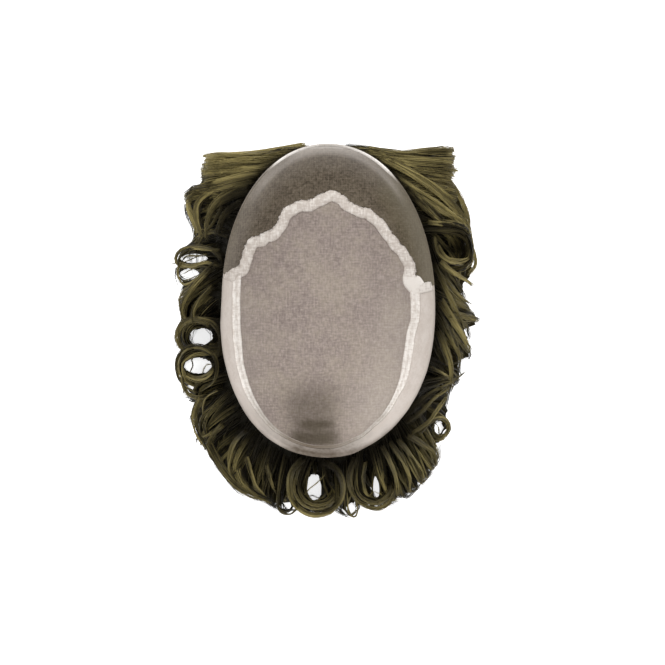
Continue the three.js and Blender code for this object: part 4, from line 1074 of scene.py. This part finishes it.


# %% [markdown]
# ## Wisps
# On top of the locks lie the wisps that one would know this piece by: the thin open loops, the light streaks
# that bend over the dark, painted as highlights, and the tips that stand out. They are drawn through a few places
# of the picture.

# %% Wisp table: width in mm, lightness (on the light streaks a painted highlight), strands, places
WISPS = [
    (4.0, 0.92, 40, [(306, 144), (280, 148), (250, 151), (225, 151), (200, 152)]),
    (5.0, 0.86, 40, [(285, 158), (262, 166), (240, 167), (222, 162), (199, 163)]),
    (6.0, 0.78, 70,
     [(262, 174), (238, 177), (212, 181), (195, 186), (187, 194), (186, 205), (191, 217), (198, 236)]),
    (3.0, 0.6, 24, [(236, 186), (222, 192), (212, 203), (206, 216)]),
    (8.0, 0.45, 80, [(258, 180), (236, 184), (212, 189), (197, 200), (195, 216), (201, 238)]),
    (7.0, 0.2, 60, [(252, 188), (230, 194), (214, 204), (206, 220), (206, 242)]),
    (6.0, 0.14, 44, [(246, 200), (230, 208), (220, 222), (216, 242)]),
    (3.0, 0.5, 22, [(222, 205), (212, 222), (202, 236), (197, 246)]),
    (2.2, 0.45, 24, [(230, 238), (212, 231), (200, 236), (196, 246)]),
    (2.6, 0.5, 34,
     [(224, 264), (212, 250), (192, 246), (178, 249), (173, 258), (178, 265), (192, 265), (210, 262)]),
    (2.2, 0.55, 24, [(220, 250), (204, 248), (186, 248), (175, 255)]),
    (2.4, 0.65, 26, [(176, 262), (190, 265), (206, 262), (222, 268)]),
    (1.8, 0.55, 20, [(176, 264), (175, 274), (181, 284), (191, 281), (204, 270)]),
    (1.0, 0.5, 5, [(196, 256), (182, 261), (167, 262)]),
    (5.0, 0.7, 50, [(217, 262), (203, 274), (191, 287), (182, 300), (179, 312), (187, 326)]),
    (4.0, 0.5, 30, [(212, 285), (200, 298), (192, 312), (194, 326)]),
    (5.5, 0.4, 50, [(210, 324), (195, 319), (181, 324), (175, 336), (179, 348), (192, 352)]),
    (3.0, 0.5, 26, [(196, 318), (210, 322), (218, 332), (219, 346), (217, 358)]),
    (4.5, 0.42, 50, [(213, 354), (199, 347), (184, 350), (175, 361), (175, 376), (184, 388), (198, 394)]),
    (3.0, 0.5, 26, [(200, 348), (212, 354), (217, 366), (212, 382), (198, 392)]),
    (3.6, 0.65, 30, [(182, 374), (194, 379), (206, 376), (213, 368)]),
    (3.4, 0.42, 40, [(180, 372), (180, 384), (184, 394), (194, 399), (206, 396)]),
    (0.9, 0.5, 5, [(212, 268), (200, 266), (188, 270), (177, 274)]),
    (0.9, 0.5, 4, [(207, 274), (196, 275), (186, 279), (179, 281)]),
    (1.4, 0.55, 9, [(207, 253), (196, 256), (184, 256), (175, 262)]),
    (3.0, 0.7, 24, [(217, 390), (206, 398), (198, 408), (195, 418)]),
    (5.0, 0.4, 44, [(199, 398), (192, 414), (194, 432), (204, 452)]),
    (3.0, 0.85, 34, [(247, 430), (236, 440), (229, 452), (227, 468), (230, 480)]),
    (3.0, 0.8, 32, [(246, 458), (250, 472), (255, 488), (265, 501)]),
    (2.4, 0.65, 22, [(266, 466), (270, 482), (276, 497)]),
    (4.0, 0.5, 36, [(222, 425), (212, 436), (206, 448), (212, 464)]),
    (6.0, 0.4, 60, [(206, 444), (216, 464), (230, 484), (248, 497), (268, 504)]),
    (5.0, 0.35, 40, [(238, 470), (243, 486), (256, 499), (272, 506)]),
    (1.8, 0.5, 18, [(278, 500), (276, 508), (281, 516), (291, 517), (297, 509), (292, 502)]),
    (4.6, 0.55, 60, [(304, 458), (292, 472), (289, 490), (294, 507), (310, 518), (330, 516), (342, 503)]),
    (4.6, 0.5, 60, [(322, 462), (336, 470), (343, 486), (341, 503), (328, 514), (310, 514)]),
    (2.4, 0.7, 22, [(300, 466), (296, 480), (297, 496), (304, 508)]),
    (1.6, 0.6, 14, [(351, 498), (348, 508), (351, 519), (356, 520), (359, 511), (355, 500)]),
    (4.6, 0.55, 60, [(356, 458), (350, 474), (352, 492), (362, 506), (378, 512), (391, 505), (396, 490)]),
    (3.0, 0.6, 26, [(366, 462), (364, 478), (366, 494), (374, 505)]),
    (3.4, 0.6, 40, [(382, 446), (390, 462), (397, 480), (400, 500)]),
    (3.4, 0.7, 40, [(390, 442), (402, 460), (410, 478), (413, 496)]),
    (3.4, 0.55, 40, [(398, 440), (412, 456), (422, 472), (424, 486)]),
    (4.4, 0.6, 50, [(408, 436), (424, 446), (436, 456), (438, 470)]),
    (4.0, 0.8, 50, [(406, 424), (420, 414), (434, 400), (451, 389)]),
    (3.0, 0.7, 26, [(412, 434), (428, 424), (440, 408), (449, 396)]),
    (2.8, 0.7, 44, [(420, 434), (430, 424), (441, 419), (449, 423), (450, 433), (444, 441), (434, 442)]),
    (0.9, 0.5, 4, [(435, 422), (440, 429), (443, 438)]),
    (5.0, 0.5, 44, [(402, 420), (418, 404), (434, 392), (448, 386)]),
    (1.6, 0.5, 10, [(440, 388), (456, 382), (470, 371)]),
    (2.6, 0.6, 20, [(428, 366), (440, 372), (450, 378)]),
    (1.0, 0.45, 4, [(302, 500), (309, 491), (318, 483), (326, 474)]),
    (1.0, 0.4, 4, [(304, 506), (311, 497), (321, 500), (328, 492)]),
    (1.0, 0.4, 3, [(369, 499), (376, 494), (385, 497)]),
    (1.0, 0.35, 4, [(187, 374), (191, 366), (189, 359), (193, 354)]),
    (1.0, 0.35, 3, [(201, 374), (205, 366), (212, 361)]),
    (5.0, 0.8, 60, [(440, 300), (452, 318), (464, 336), (472, 352)]),
    (5.0, 0.7, 50, [(438, 330), (446, 348), (452, 366), (452, 386)]),
    (6.0, 0.65, 60, [(450, 314), (464, 316), (483, 320)]),
    (4.0, 0.85, 50, [(428, 222), (446, 224), (462, 232), (474, 246), (478, 262), (470, 276)]),
    (4.0, 0.7, 40, [(434, 236), (438, 252), (450, 262), (466, 264)]),
    (5.0, 0.7, 50, [(440, 262), (454, 272), (468, 280), (476, 286)]),
    (4.0, 0.6, 40, [(438, 272), (452, 286), (464, 298), (474, 305)]),
    (4.0, 0.75, 50, [(434, 262), (444, 284), (456, 308), (466, 330)]),
    (3.0, 0.8, 28, [(438, 244), (446, 256), (458, 260), (470, 257), (477, 248)]),
    (6.0, 0.55, 50, [(372, 152), (400, 158), (430, 160), (456, 157)]),
    (6.0, 0.6, 60, [(396, 178), (420, 192), (444, 206), (464, 222), (471, 238)]),
    (5.0, 0.5, 44, [(404, 186), (420, 202), (440, 220), (452, 226)]),
    (5.0, 0.5, 50, [(436, 168), (452, 180), (464, 198), (470, 216), (469, 232)]),
    (7.0, 0.72, 84, [(380, 156), (405, 168), (430, 184), (450, 200), (463, 214), (469, 230)]),
    (5.0, 0.86, 60, [(392, 162), (416, 174), (438, 186), (458, 198)]),
    (5.0, 0.35, 44, [(390, 172), (412, 188), (430, 206), (448, 222)]),
    (4.0, 0.6, 40, [(404, 190), (424, 200), (444, 212), (458, 222)]),
    (5.0, 0.85, 50, [(366, 148), (395, 153), (425, 152), (457, 147)]),
    (4.0, 0.8, 40, [(384, 156), (412, 162), (440, 165), (461, 168)]),
]


def wisp_strands(wide, light, count, places, own):
    """A wisp is a few finer tresses side by side, each a little lighter or darker than the next."""
    line = drawn_line(places)
    blunt = places[-1][1] < 180
    steps = int(np.clip(len(places) * 3, 8, 20))
    tresses = int(np.clip(round(wide * 0.8), 1, 6))
    made = []
    for k in range(tresses):
        seat = (((k + 0.5) / tresses * 2 - 1) * 0.62, own.normal(0, 0.35))
        tone = light + own.normal(0, 0.17)
        made.append(comb(line, own, max(3, count // tresses), wide / 2 + 0.6, 1.6, seat, 0.7, tone, steps,
                         WISP_THICK, blunt, 0.05, 1.0, True, own.uniform(0.25, 0.75)))
    return made


# %% [markdown]
# ## Lock hearts and the pressed bed
# A real lock has thousands of hairs, far more than a mesh can hold. So each lock has a closed heart with
# grooves along it, painted dark as the shade inside a lock, and strands only on and near its face. Under the
# cap the hair is pressed into a bed that stands out past the rim as a low skirt, which carries the locks and
# shuts off the light; it too is painted dark as shade.

# %% Heart of a lock
def lock_heart(row, own):
    sides, steps = 14, int(np.clip(row["reach"] * 8 + abs(row["turn"]) / 14 + 6, 10, 28))
    x, y, z, heading, share, total = lock_line(row)
    t = np.linspace(0.0, 0.86, steps)[:, None]
    angle = (2 * math.pi * np.arange(sides) / sides)[None, :]
    grooves = own.normal(0, 0.08, (1, sides)) + 0.05 * np.sin(3 * angle + own.uniform(0, 6))
    ending = np.sqrt(np.clip(1 - smooth(t, 0.6, 0.9) * 0.97, 0.02, 1))
    size = (0.62 + grooves) * ending * (1 + (row["tip"] - 1) * t**1.5)
    px, py, pz, ph = (np.interp(t, share, values) for values in (x, y, z, heading))
    sideways = row["wide"] * LOCK_WIDTH / 2 * size * np.cos(angle)
    rise = row["deep"] * LOCK_DEPTH / 2 * size * np.sin(angle)
    points = settle(np.stack([px - np.sin(ph) * sideways, py + np.cos(ph) * sideways, pz - 1.5 + rise], -1), 0.2)
    round_it = np.arange(sides)[None, :] / sides + own.uniform(0, 9)
    # A low tone and, below, extra painted shade make the heart dark: the shade inside a lock.
    grain = np.stack(np.broadcast_arrays(round_it, t * total / 40, 0.12 + 0 * t), -1)
    i, j = np.arange(steps - 1)[:, None], np.arange(sides)[None, :]
    a, b = i * sides + j, i * sides + (j + 1) % sides
    quads = np.stack([a, b, b + sides, a + sides], -1).reshape(-1, 4)
    fan = np.array([[0, k + 1, k] for k in range(1, sides - 1)])
    last = (steps - 1) * sides
    caps = np.concatenate([fan, np.array([[last, last + k, last + k + 1] for k in range(1, sides - 1)])])
    return points.reshape(-1, 3), quads, caps, grain.reshape(-1, 3), 0.6 * depth_shade(points).ravel()


# %% The bed of one zone
SKIRT = [
    (90, 0.02), (104, 0.1), (116, 0.46), (130, 0.5), (145, 0.46), (154, 0.2), (164, 0.3), (174, 0.46), (184, 0.12),
    (205, 0.12), (214, 0.44), (228, 0.7), (244, 0.62), (256, 0.5), (262, 0.16), (268, 0.16), (275, 0.44),
    (283, 0.24), (290, 0.64), (306, 0.66), (314, 0.34), (330, 0.28), (352, 0.36), (372, 0.46), (392, 0.5),
    (406, 0.46), (428, 0.5), (438, 0.14), (450, 0.02),
]
BED_SHARE, CROWN_SHARE, PRESSED_SHARE, BED_LIFT, BED_GAP = 0.97, 0.56, 0.62, 9.0, 1.7


def bed_floor(share):
    return BED_LIFT * (np.maximum(share - PRESSED_SHARE, 0) / (BED_SHARE - PRESSED_SHARE)) ** 1.6


def zone_bed(start, stop, own):
    """Closed shell of the pressed hair in one zone, grooved outwards like combed hair."""
    at = np.linspace(start + 0.04, stop - 0.04, int((stop - start) / 0.8) + 1)[:, None]
    radius = rim_radius(at)
    out = np.minimum(column(SKIRT, at) * HAIR_REACH * 0.9, column(FRINGE, at) * 0.85)
    t = np.linspace(0, 1, 9)[None, :]
    inner, outer = CROWN_SHARE + 0 * at, BED_SHARE + 0 * at
    share = inner + (outer - inner) * t
    under = np.stack([radius * share, bed_floor(share) + 0.2], -1)
    over = cap_point(at, share)[..., 2] - BED_GAP * 1.25
    top = np.stack([radius * share, over], -1)
    rim_z, r0 = top[:, -1:, 1], radius * outer
    reach = r0 + out
    k = np.linspace(0, 1, 8)[None, 1:]
    drop = rim_z - 12
    skirt_z = drop + (14 - drop) * smooth(k, 0.02, 1.0)
    skirt = np.stack([r0 + out * k, skirt_z], -1)
    low = np.maximum(under[:, -1:, 1] - 0.4 * out, 3.0)
    edge = np.stack([reach + 0 * low, low], -1)
    ring = np.concatenate([under, edge, skirt[:, ::-1], top[:, ::-1]], 1)
    n, m = ring.shape[:2]
    grooves = own.normal(0, 1, (n, 1)) * 0.7 + 0.6 * np.sin(np.arange(n)[:, None] * 0.9 + own.uniform(0, 6))
    weight = np.zeros(m)
    weight[9:17] = 1
    r = ring[..., 0] + grooves * weight * 0.8
    z = ring[..., 1] + grooves * weight * 0.9
    points = np.stack([r * np.cos(np.radians(at)), r * np.sin(np.radians(at)), z], -1)
    # Painted shade: the bed takes half the depth shade, and its plain top and sides a fixed dim value.
    shade = 0.5 * depth_shade(points)
    shade = np.where((weight == 0)[None, :] & (z > bed_floor(r / radius) + 3), 0.45, shade)
    grain = np.stack(np.broadcast_arrays(np.radians(at) * 6, r / 40, 0.2 + 0 * r), -1)
    i, j = np.arange(n - 1)[:, None], np.arange(m)[None, :]
    a, b = i * m + j, i * m + (j + 1) % m
    quads = np.stack([a, a + m, b + m, b], -1).reshape(-1, 4)
    flat, fan = [], []
    for first, flip in ((0, False), ((n - 1) * m, True)):
        for k in range(8):
            quad = [first + k, first + k + 1, first + m - 2 - k, first + m - 1 - k]
            flat.append(quad[::-1] if flip else quad)
        skirt_ring = list(range(first + 8, first + m - 8))
        for k in range(1, len(skirt_ring) - 1):
            tri = [skirt_ring[0], skirt_ring[k], skirt_ring[k + 1]]
            fan.append(tri[::-1] if flip else tri)
    return points.reshape(-1, 3), np.concatenate([quads, flat]), np.array(fan), grain.reshape(-1, 3), shade.ravel()


# %% The low mat under the locks
def zone_mat(start, stop, own):
    """Matted hair near the table, out to the fringe, with the ringlet eyes left open."""
    at = np.linspace(start + 0.03, stop - 0.03, int((stop - start) / 0.9) + 1)[:, None]
    n, m = len(at), 22
    ragged = own.uniform(0.8, 3.0, (n, 1))
    far = np.maximum(column(FRINGE, at) - ragged, 0.4)
    beyond = -4 + (far + 4) * np.linspace(0, 1, m)[None, :]
    radius = rim_radius(at) + beyond
    x, y = radius * np.cos(np.radians(at)), radius * np.sin(np.radians(at))
    centre_x, centre_y = ((v[:-1, :-1] + v[1:, :-1] + v[:-1, 1:] + v[1:, 1:]) / 4 for v in (x, y))
    keep = ~in_hole(centre_x, centre_y, 0.3)
    x, y = pass_eyes(x, y)
    top = 5.2 - 2.4 * smooth(beyond, 0, 36) + own.normal(0, 0.45, (n, 1))
    points = np.concatenate([np.stack([x, y, z], -1).reshape(-1, 3) for z in (top, 0.7 + 0 * top)])
    i, j = np.nonzero(keep)
    corner = i * m + j
    a, b, c, d = corner, corner + m, corner + m + 1, corner + 1
    faces = [np.stack([a, b, c, d], -1), np.stack([a, d, c, b], -1) + n * m]
    wide = np.pad(keep, 1)
    for di, dj, p, q in ((0, -1, a, b), (0, 1, c, d), (-1, 0, d, a), (1, 0, b, c)):
        bare = ~wide[i + 1 + di, j + 1 + dj]
        faces.append(np.stack([q[bare], p[bare], p[bare] + n * m, q[bare] + n * m], -1))
    grain = np.stack(np.broadcast_arrays(np.radians(at) * 9, beyond / 40, 0.5 + 0 * beyond), -1).reshape(-1, 3)
    # Painted shade: the mat is darkened by the depth shade.
    shade = 0.9 * depth_shade(points)
    return points, np.concatenate(faces), np.zeros((0, 3), int), np.concatenate([grain, grain]), shade


# %% [markdown]
# ## Gathering each zone
# The zones of the frame each get two pieces: the bed with its under hair, and the locks. Between the named
# locks, shorter seeded ones fill the skirt, headed like their neighbours, so that no bare shell shows.

# %% Joining parts into one piece
def strip_map(count, n, first, columns, rows):
    """A narrow upright strip of its own in the unit square for each strand."""
    number = first + np.arange(count)
    u = (number % columns + 0.5) / columns
    v = ((number // columns)[:, None] + 0.03 + 0.94 * np.linspace(0, 1, n)[None, :]) / rows * 0.97
    shift = np.array([-0.3, 0.0, 0.3]) / columns
    u = np.broadcast_to(u[:, None, None] + shift[None, None, :], (count, n, 3))
    return np.stack([u, np.broadcast_to(v[..., None], (count, n, 3))], -1).reshape(-1, 2)


def join_parts(name, parts, looks, strands=()):
    """One mesh from many part arrays. Strands get a mapped strip each, and solid parts the first finish."""
    total = sum(len(line[0]) for line in strands)
    columns = max(1, math.ceil(math.sqrt(total * 60)))
    rows = max(1, math.ceil(total / columns))
    points, quads, caps, grain, shade, corners = [], [], [], [], [], []
    first, number, solid_quads, solid_caps = 0, 0, 0, 0
    for k, (p, q, c, g, s) in enumerate(parts):
        points.append(p)
        quads.append(q + first)
        caps.append(np.asarray(c).reshape(-1, 3) + first)
        grain.append(g)
        shade.append(s)
        solid_quads, solid_caps = solid_quads + len(q), solid_caps + len(caps[-1])
        low, high = p.min(0), p.max(0)
        size = 1 / len(parts)
        corners.append((p[:, :2] - low[:2]) / (high - low)[:2].max() * min(size, 0.027) * 0.9 + [k * size, 0.972])
        first += len(p)
    for lines, thick, g, s in strands:
        p, q, c = tube_mesh(lines, thick)
        points.append(p)
        quads.append(q + first)
        caps.append(c + first)
        grain.append(np.repeat(g.reshape(-1, 3), 3, 0))
        shade.append(np.repeat(s.ravel(), 3))
        corners.append(strip_map(len(lines), lines.shape[1], number, columns, rows))
        first += len(p)
        number += len(lines)
    quads, caps = np.concatenate(quads), np.concatenate(caps)
    piece = make_piece(name, np.concatenate(points), quads, caps, np.concatenate(grain),
                       np.clip(np.concatenate(shade), 0, 1), np.concatenate(corners))
    for look in looks:
        piece.data.materials.append(look)
    index = np.full(len(quads) + len(caps), len(looks) - 1, np.int32)
    index[:solid_quads] = 0
    index[len(quads):len(quads) + solid_caps] = 0
    piece.data.polygons.foreach_set("material_index", index)
    return piece


# %% Under locks: seeded, shorter, and painted darker as shade
def as_row(values):
    return dict(zip(LOCK_COLUMNS, values))


def under_locks(start, stop, own):
    """Rows for the hair between the named locks."""
    plain = [as_row(v) for v in LOCKS if abs(v[5]) < 150]
    ats = np.array([r["at"] for r in plain], float)
    gos = np.degrees(np.unwrap(np.radians([r["go"] for r in plain])))
    rows = []
    for at in np.arange(start + 0.8, stop, 2.2):
        out = float(column(FRINGE, at))
        if out < 5:
            continue
        radial = float(np.interp(at, ats, gos))
        side, calm = (1 if at < 304 else -1), (0.2 if at < 126 or at > 418 else 1)
        # A low light paints these under locks darker: painted shade under the named locks.
        rows.append(dict(
            at=at + own.uniform(-0.6, 0.6), go=radial + own.normal(0, 9),
            reach=out / HAIR_REACH * own.uniform(0.5, 1.05), bend=own.normal(6, 12) * side,
            curl=own.uniform(0.6, 1.2), turn=own.normal(45, 40) * side * calm, wide=own.uniform(0.55, 0.9),
            deep=own.uniform(0.7, 1.0), root=own.uniform(0.5, 0.62), end=own.uniform(0.1, 0.24), tip=0.55,
            light=own.uniform(0.12, 0.4), count=34))
    return rows


# %% Build every zone
hair_pieces = {}
for number, (zone, start, stop) in enumerate(ZONES):
    own = np.random.default_rng(500 + number)
    rows = [as_row(v) for v in LOCKS if start <= v[0] < stop or (stop == 450 and v[0] >= 406)]
    short = [s for r in under_locks(start, stop, own)
             for s in lock_strands(r, r["count"], own, UNDER_THICK, 0.08, True)]
    hair_pieces[zone] = [join_parts(zone + "_bed", [zone_bed(start, stop, own), zone_mat(start, stop, own)],
                                    [SHADED_UNDER_HAIR, HAIR], short)]
    hearts = [lock_heart(r, own) for r in rows if r["count"] > 70]
    long = [s for r in rows for s in lock_strands(r, r["count"], own)]
    for wide, light, count, places in WISPS:
        x, y = from_photo(*places[0])
        at = float(around(x, y)[0])
        if start <= at < stop:
            long += wisp_strands(wide, light, count, places, own)
    hair_pieces[zone].append(join_parts(zone + "_locks", hearts, [SHADED_UNDER_HAIR, HAIR], long))

# %% [markdown]
# ## The pressed crown
# Under the deepest part of the bowl the hair is squeezed flat on the table. It is a round pad with the
# strands of a whorl lying on its underside. Little of it shows, but the piece can be turned over.

# %% Crown pad and its whorl
def crown_pad():
    at = np.arange(0, 360, 4.0)[:, None]
    share = np.concatenate([np.linspace(0.02, CROWN_SHARE, 9), np.linspace(CROWN_SHARE, 0.02, 9)])[None, :]
    radius = rim_radius(at) * share
    top = cap_point(at, share)[..., 2] - BED_GAP * 1.25
    low = 0.25 + 0.12 * np.sin(np.radians(at) * 9 + share * 14)
    z = np.where((np.arange(18) < 9)[None, :], low, top)
    points = np.stack([radius * np.cos(np.radians(at)), radius * np.sin(np.radians(at)), z], -1)
    n, m = points.shape[:2]
    i, j = np.arange(n)[:, None], np.arange(m - 1)[None, :]
    a, b = i * m + j, (i + 1) % n * m + j
    quads = np.stack([a, b, b + 1, a + 1], -1).reshape(-1, 4)
    first = np.arange(n) * m
    caps = [[first[0], first[k + 1], first[k]] for k in range(1, n - 1)]
    last = first + m - 1
    caps += [[last[0], last[k], last[k + 1]] for k in range(1, n - 1)]
    grain = np.stack(np.broadcast_arrays(np.radians(at) * 6 + share * 3, radius / 40, 0.3 + 0 * radius), -1)
    # The pad takes a fixed painted shade, as it lies under the cap.
    return points.reshape(-1, 3), quads, np.array(caps), grain.reshape(-1, 3), np.full(n * m, 0.4)


def whorl(count, own):
    t = np.linspace(0, 1, 12)[None, :]
    start = own.uniform(0, 360, (count, 1))
    share = own.uniform(0.03, 0.4, (count, 1)) + (0.2 + own.uniform(0, 0.1, (count, 1))) * t
    at = start + 70 * t ** 0.8
    p = cap_point(at, share)
    lines = np.stack([p[..., 0], p[..., 1], 0.35 + own.uniform(0, 0.5, (count, 1)) + 0 * t + bed_floor(share)], -1)
    thick = 0.3 * (1 - 0.6 * smooth(t, 0.7, 1)) + 0 * share
    grain = np.stack(np.broadcast_arrays(own.uniform(0, 1, (count, 1)), t, own.normal(0.5, 0.15, (count, 1))), -1)
    # The whorl takes a fixed painted shade too.
    return lines, thick, grain, 0.5 + 0 * share


own = np.random.default_rng(600)
crown = join_parts("hair_crown_bed", [crown_pad()], [SHADED_UNDER_HAIR, HAIR], [whorl(420, own)])
hair_pieces["hair_crown"] = [crown]

# %% [markdown]
# ## Saying what each piece is
# Every piece rides on the object's one body and takes the place of its solid. For the three cloths, the
# size they are cut to before they are stretched on a head block is printed beside their area.

# %% Riding and replacing
for piece, node, slot in (
    (net, "mono_top", "mono"), (lace, "front_lace", "lace"), (film, "perimeter_film", "film"),
    *((piece, "scallop_ribbon", "ribbon") for piece in (ribbon, fray, left_seam, right_seam)),
    (tape, "inner_tape", "tape"), (binding, "front_binding", "tape"),
):
    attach(piece, "root")
    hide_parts(node)
for node, made in hair_pieces.items():
    for piece in made:
        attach(piece, "root")
        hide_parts(node)


# %% Cut sizes of the cloths
def cloth_area(piece):
    return sum(face.area for face in piece.data.polygons)


for piece, flat in ((net, (0.15, 0.19)), (lace, (0.165, 0.11)), (film, (0.345, 0.0205))):
    cut = round(flat[0] * flat[1], 5)
    print(piece.name, "cloth area in square metres:", round(cloth_area(piece), 5), "cut rectangle:", cut)

# %% [markdown]
# ## Table, light and camera
# The table is a plain white floor, lit brightly enough to read as paper. Light comes from a pale sky and two
# large soft panels, so the hair shows lengthwise lights but no hard shadow. The camera looks straight down.

# %% Floor
FLOOR_HALF, FLOOR_DROP = 3.0, 0.0003
floor_mesh = bpy.data.meshes.new("floor")
floor_corners = [(x * FLOOR_HALF, y * FLOOR_HALF, -FLOOR_DROP) for x, y in ((-1, -1), (1, -1), (1, 1), (-1, 1))]
floor_mesh.from_pydata(floor_corners, [], [(0, 1, 2, 3)])
floor = bpy.data.objects.new("floor", floor_mesh)
bpy.context.scene.collection.objects.link(floor)
floor_look, _, floor_sockets = finish("white table", 0.9, 0.1)
floor_sockets["Base Color"].default_value = (0.93, 0.93, 0.93, 1.0)
floor_sockets["Emission Color"].default_value = (1.0, 1.0, 1.0, 1.0)
floor_sockets["Emission Strength"].default_value = 0.74
floor_mesh.materials.append(floor_look)

# %% Soft studio light
sky = bpy.data.worlds.new("studio")
sky.use_nodes = True
sky.node_tree.nodes["Background"].inputs["Color"].default_value = (1.0, 1.0, 1.0, 1.0)
sky.node_tree.nodes["Background"].inputs["Strength"].default_value = 0.75
bpy.context.scene.world = sky
PANELS = (("left panel", (-0.9, 0.8, 1.6), 0.9, 17.0), ("right panel", (1.1, 0.2, 1.5), 0.7, 11.0))
for name, place, size, power in PANELS:
    data = bpy.data.lights.new(name, "AREA")
    data.energy, data.size = power, size
    panel = bpy.data.objects.new(name, data)
    panel.location = place
    panel.rotation_euler = (Vector((0, 0, 0.03)) - Vector(place)).to_track_quat("-Z", "Y").to_euler()
    bpy.context.scene.collection.objects.link(panel)
bpy.context.scene.view_settings.view_transform = "Standard"

# %% Camera straight above the cap
camera_data = bpy.data.cameras.new("camera")
camera_data.lens, camera_data.sensor_width = 180.0, 36.0
camera = bpy.data.objects.new("camera", camera_data)
field = PICTURE_SIZE * PIXEL * MM
camera.location = (
    (CAP_MIDDLE[0] + (PICTURE_SIZE / 2 - PICTURE_X) * PIXEL) * MM,
    (CAP_MIDDLE[1] - (PICTURE_SIZE / 2 - PICTURE_Y) * PIXEL) * MM,
    RIM_HEIGHT * MM + field * camera_data.lens / camera_data.sensor_width,
)
camera_data.clip_end = 20
bpy.context.scene.collection.objects.link(camera)
bpy.context.scene.camera = camera
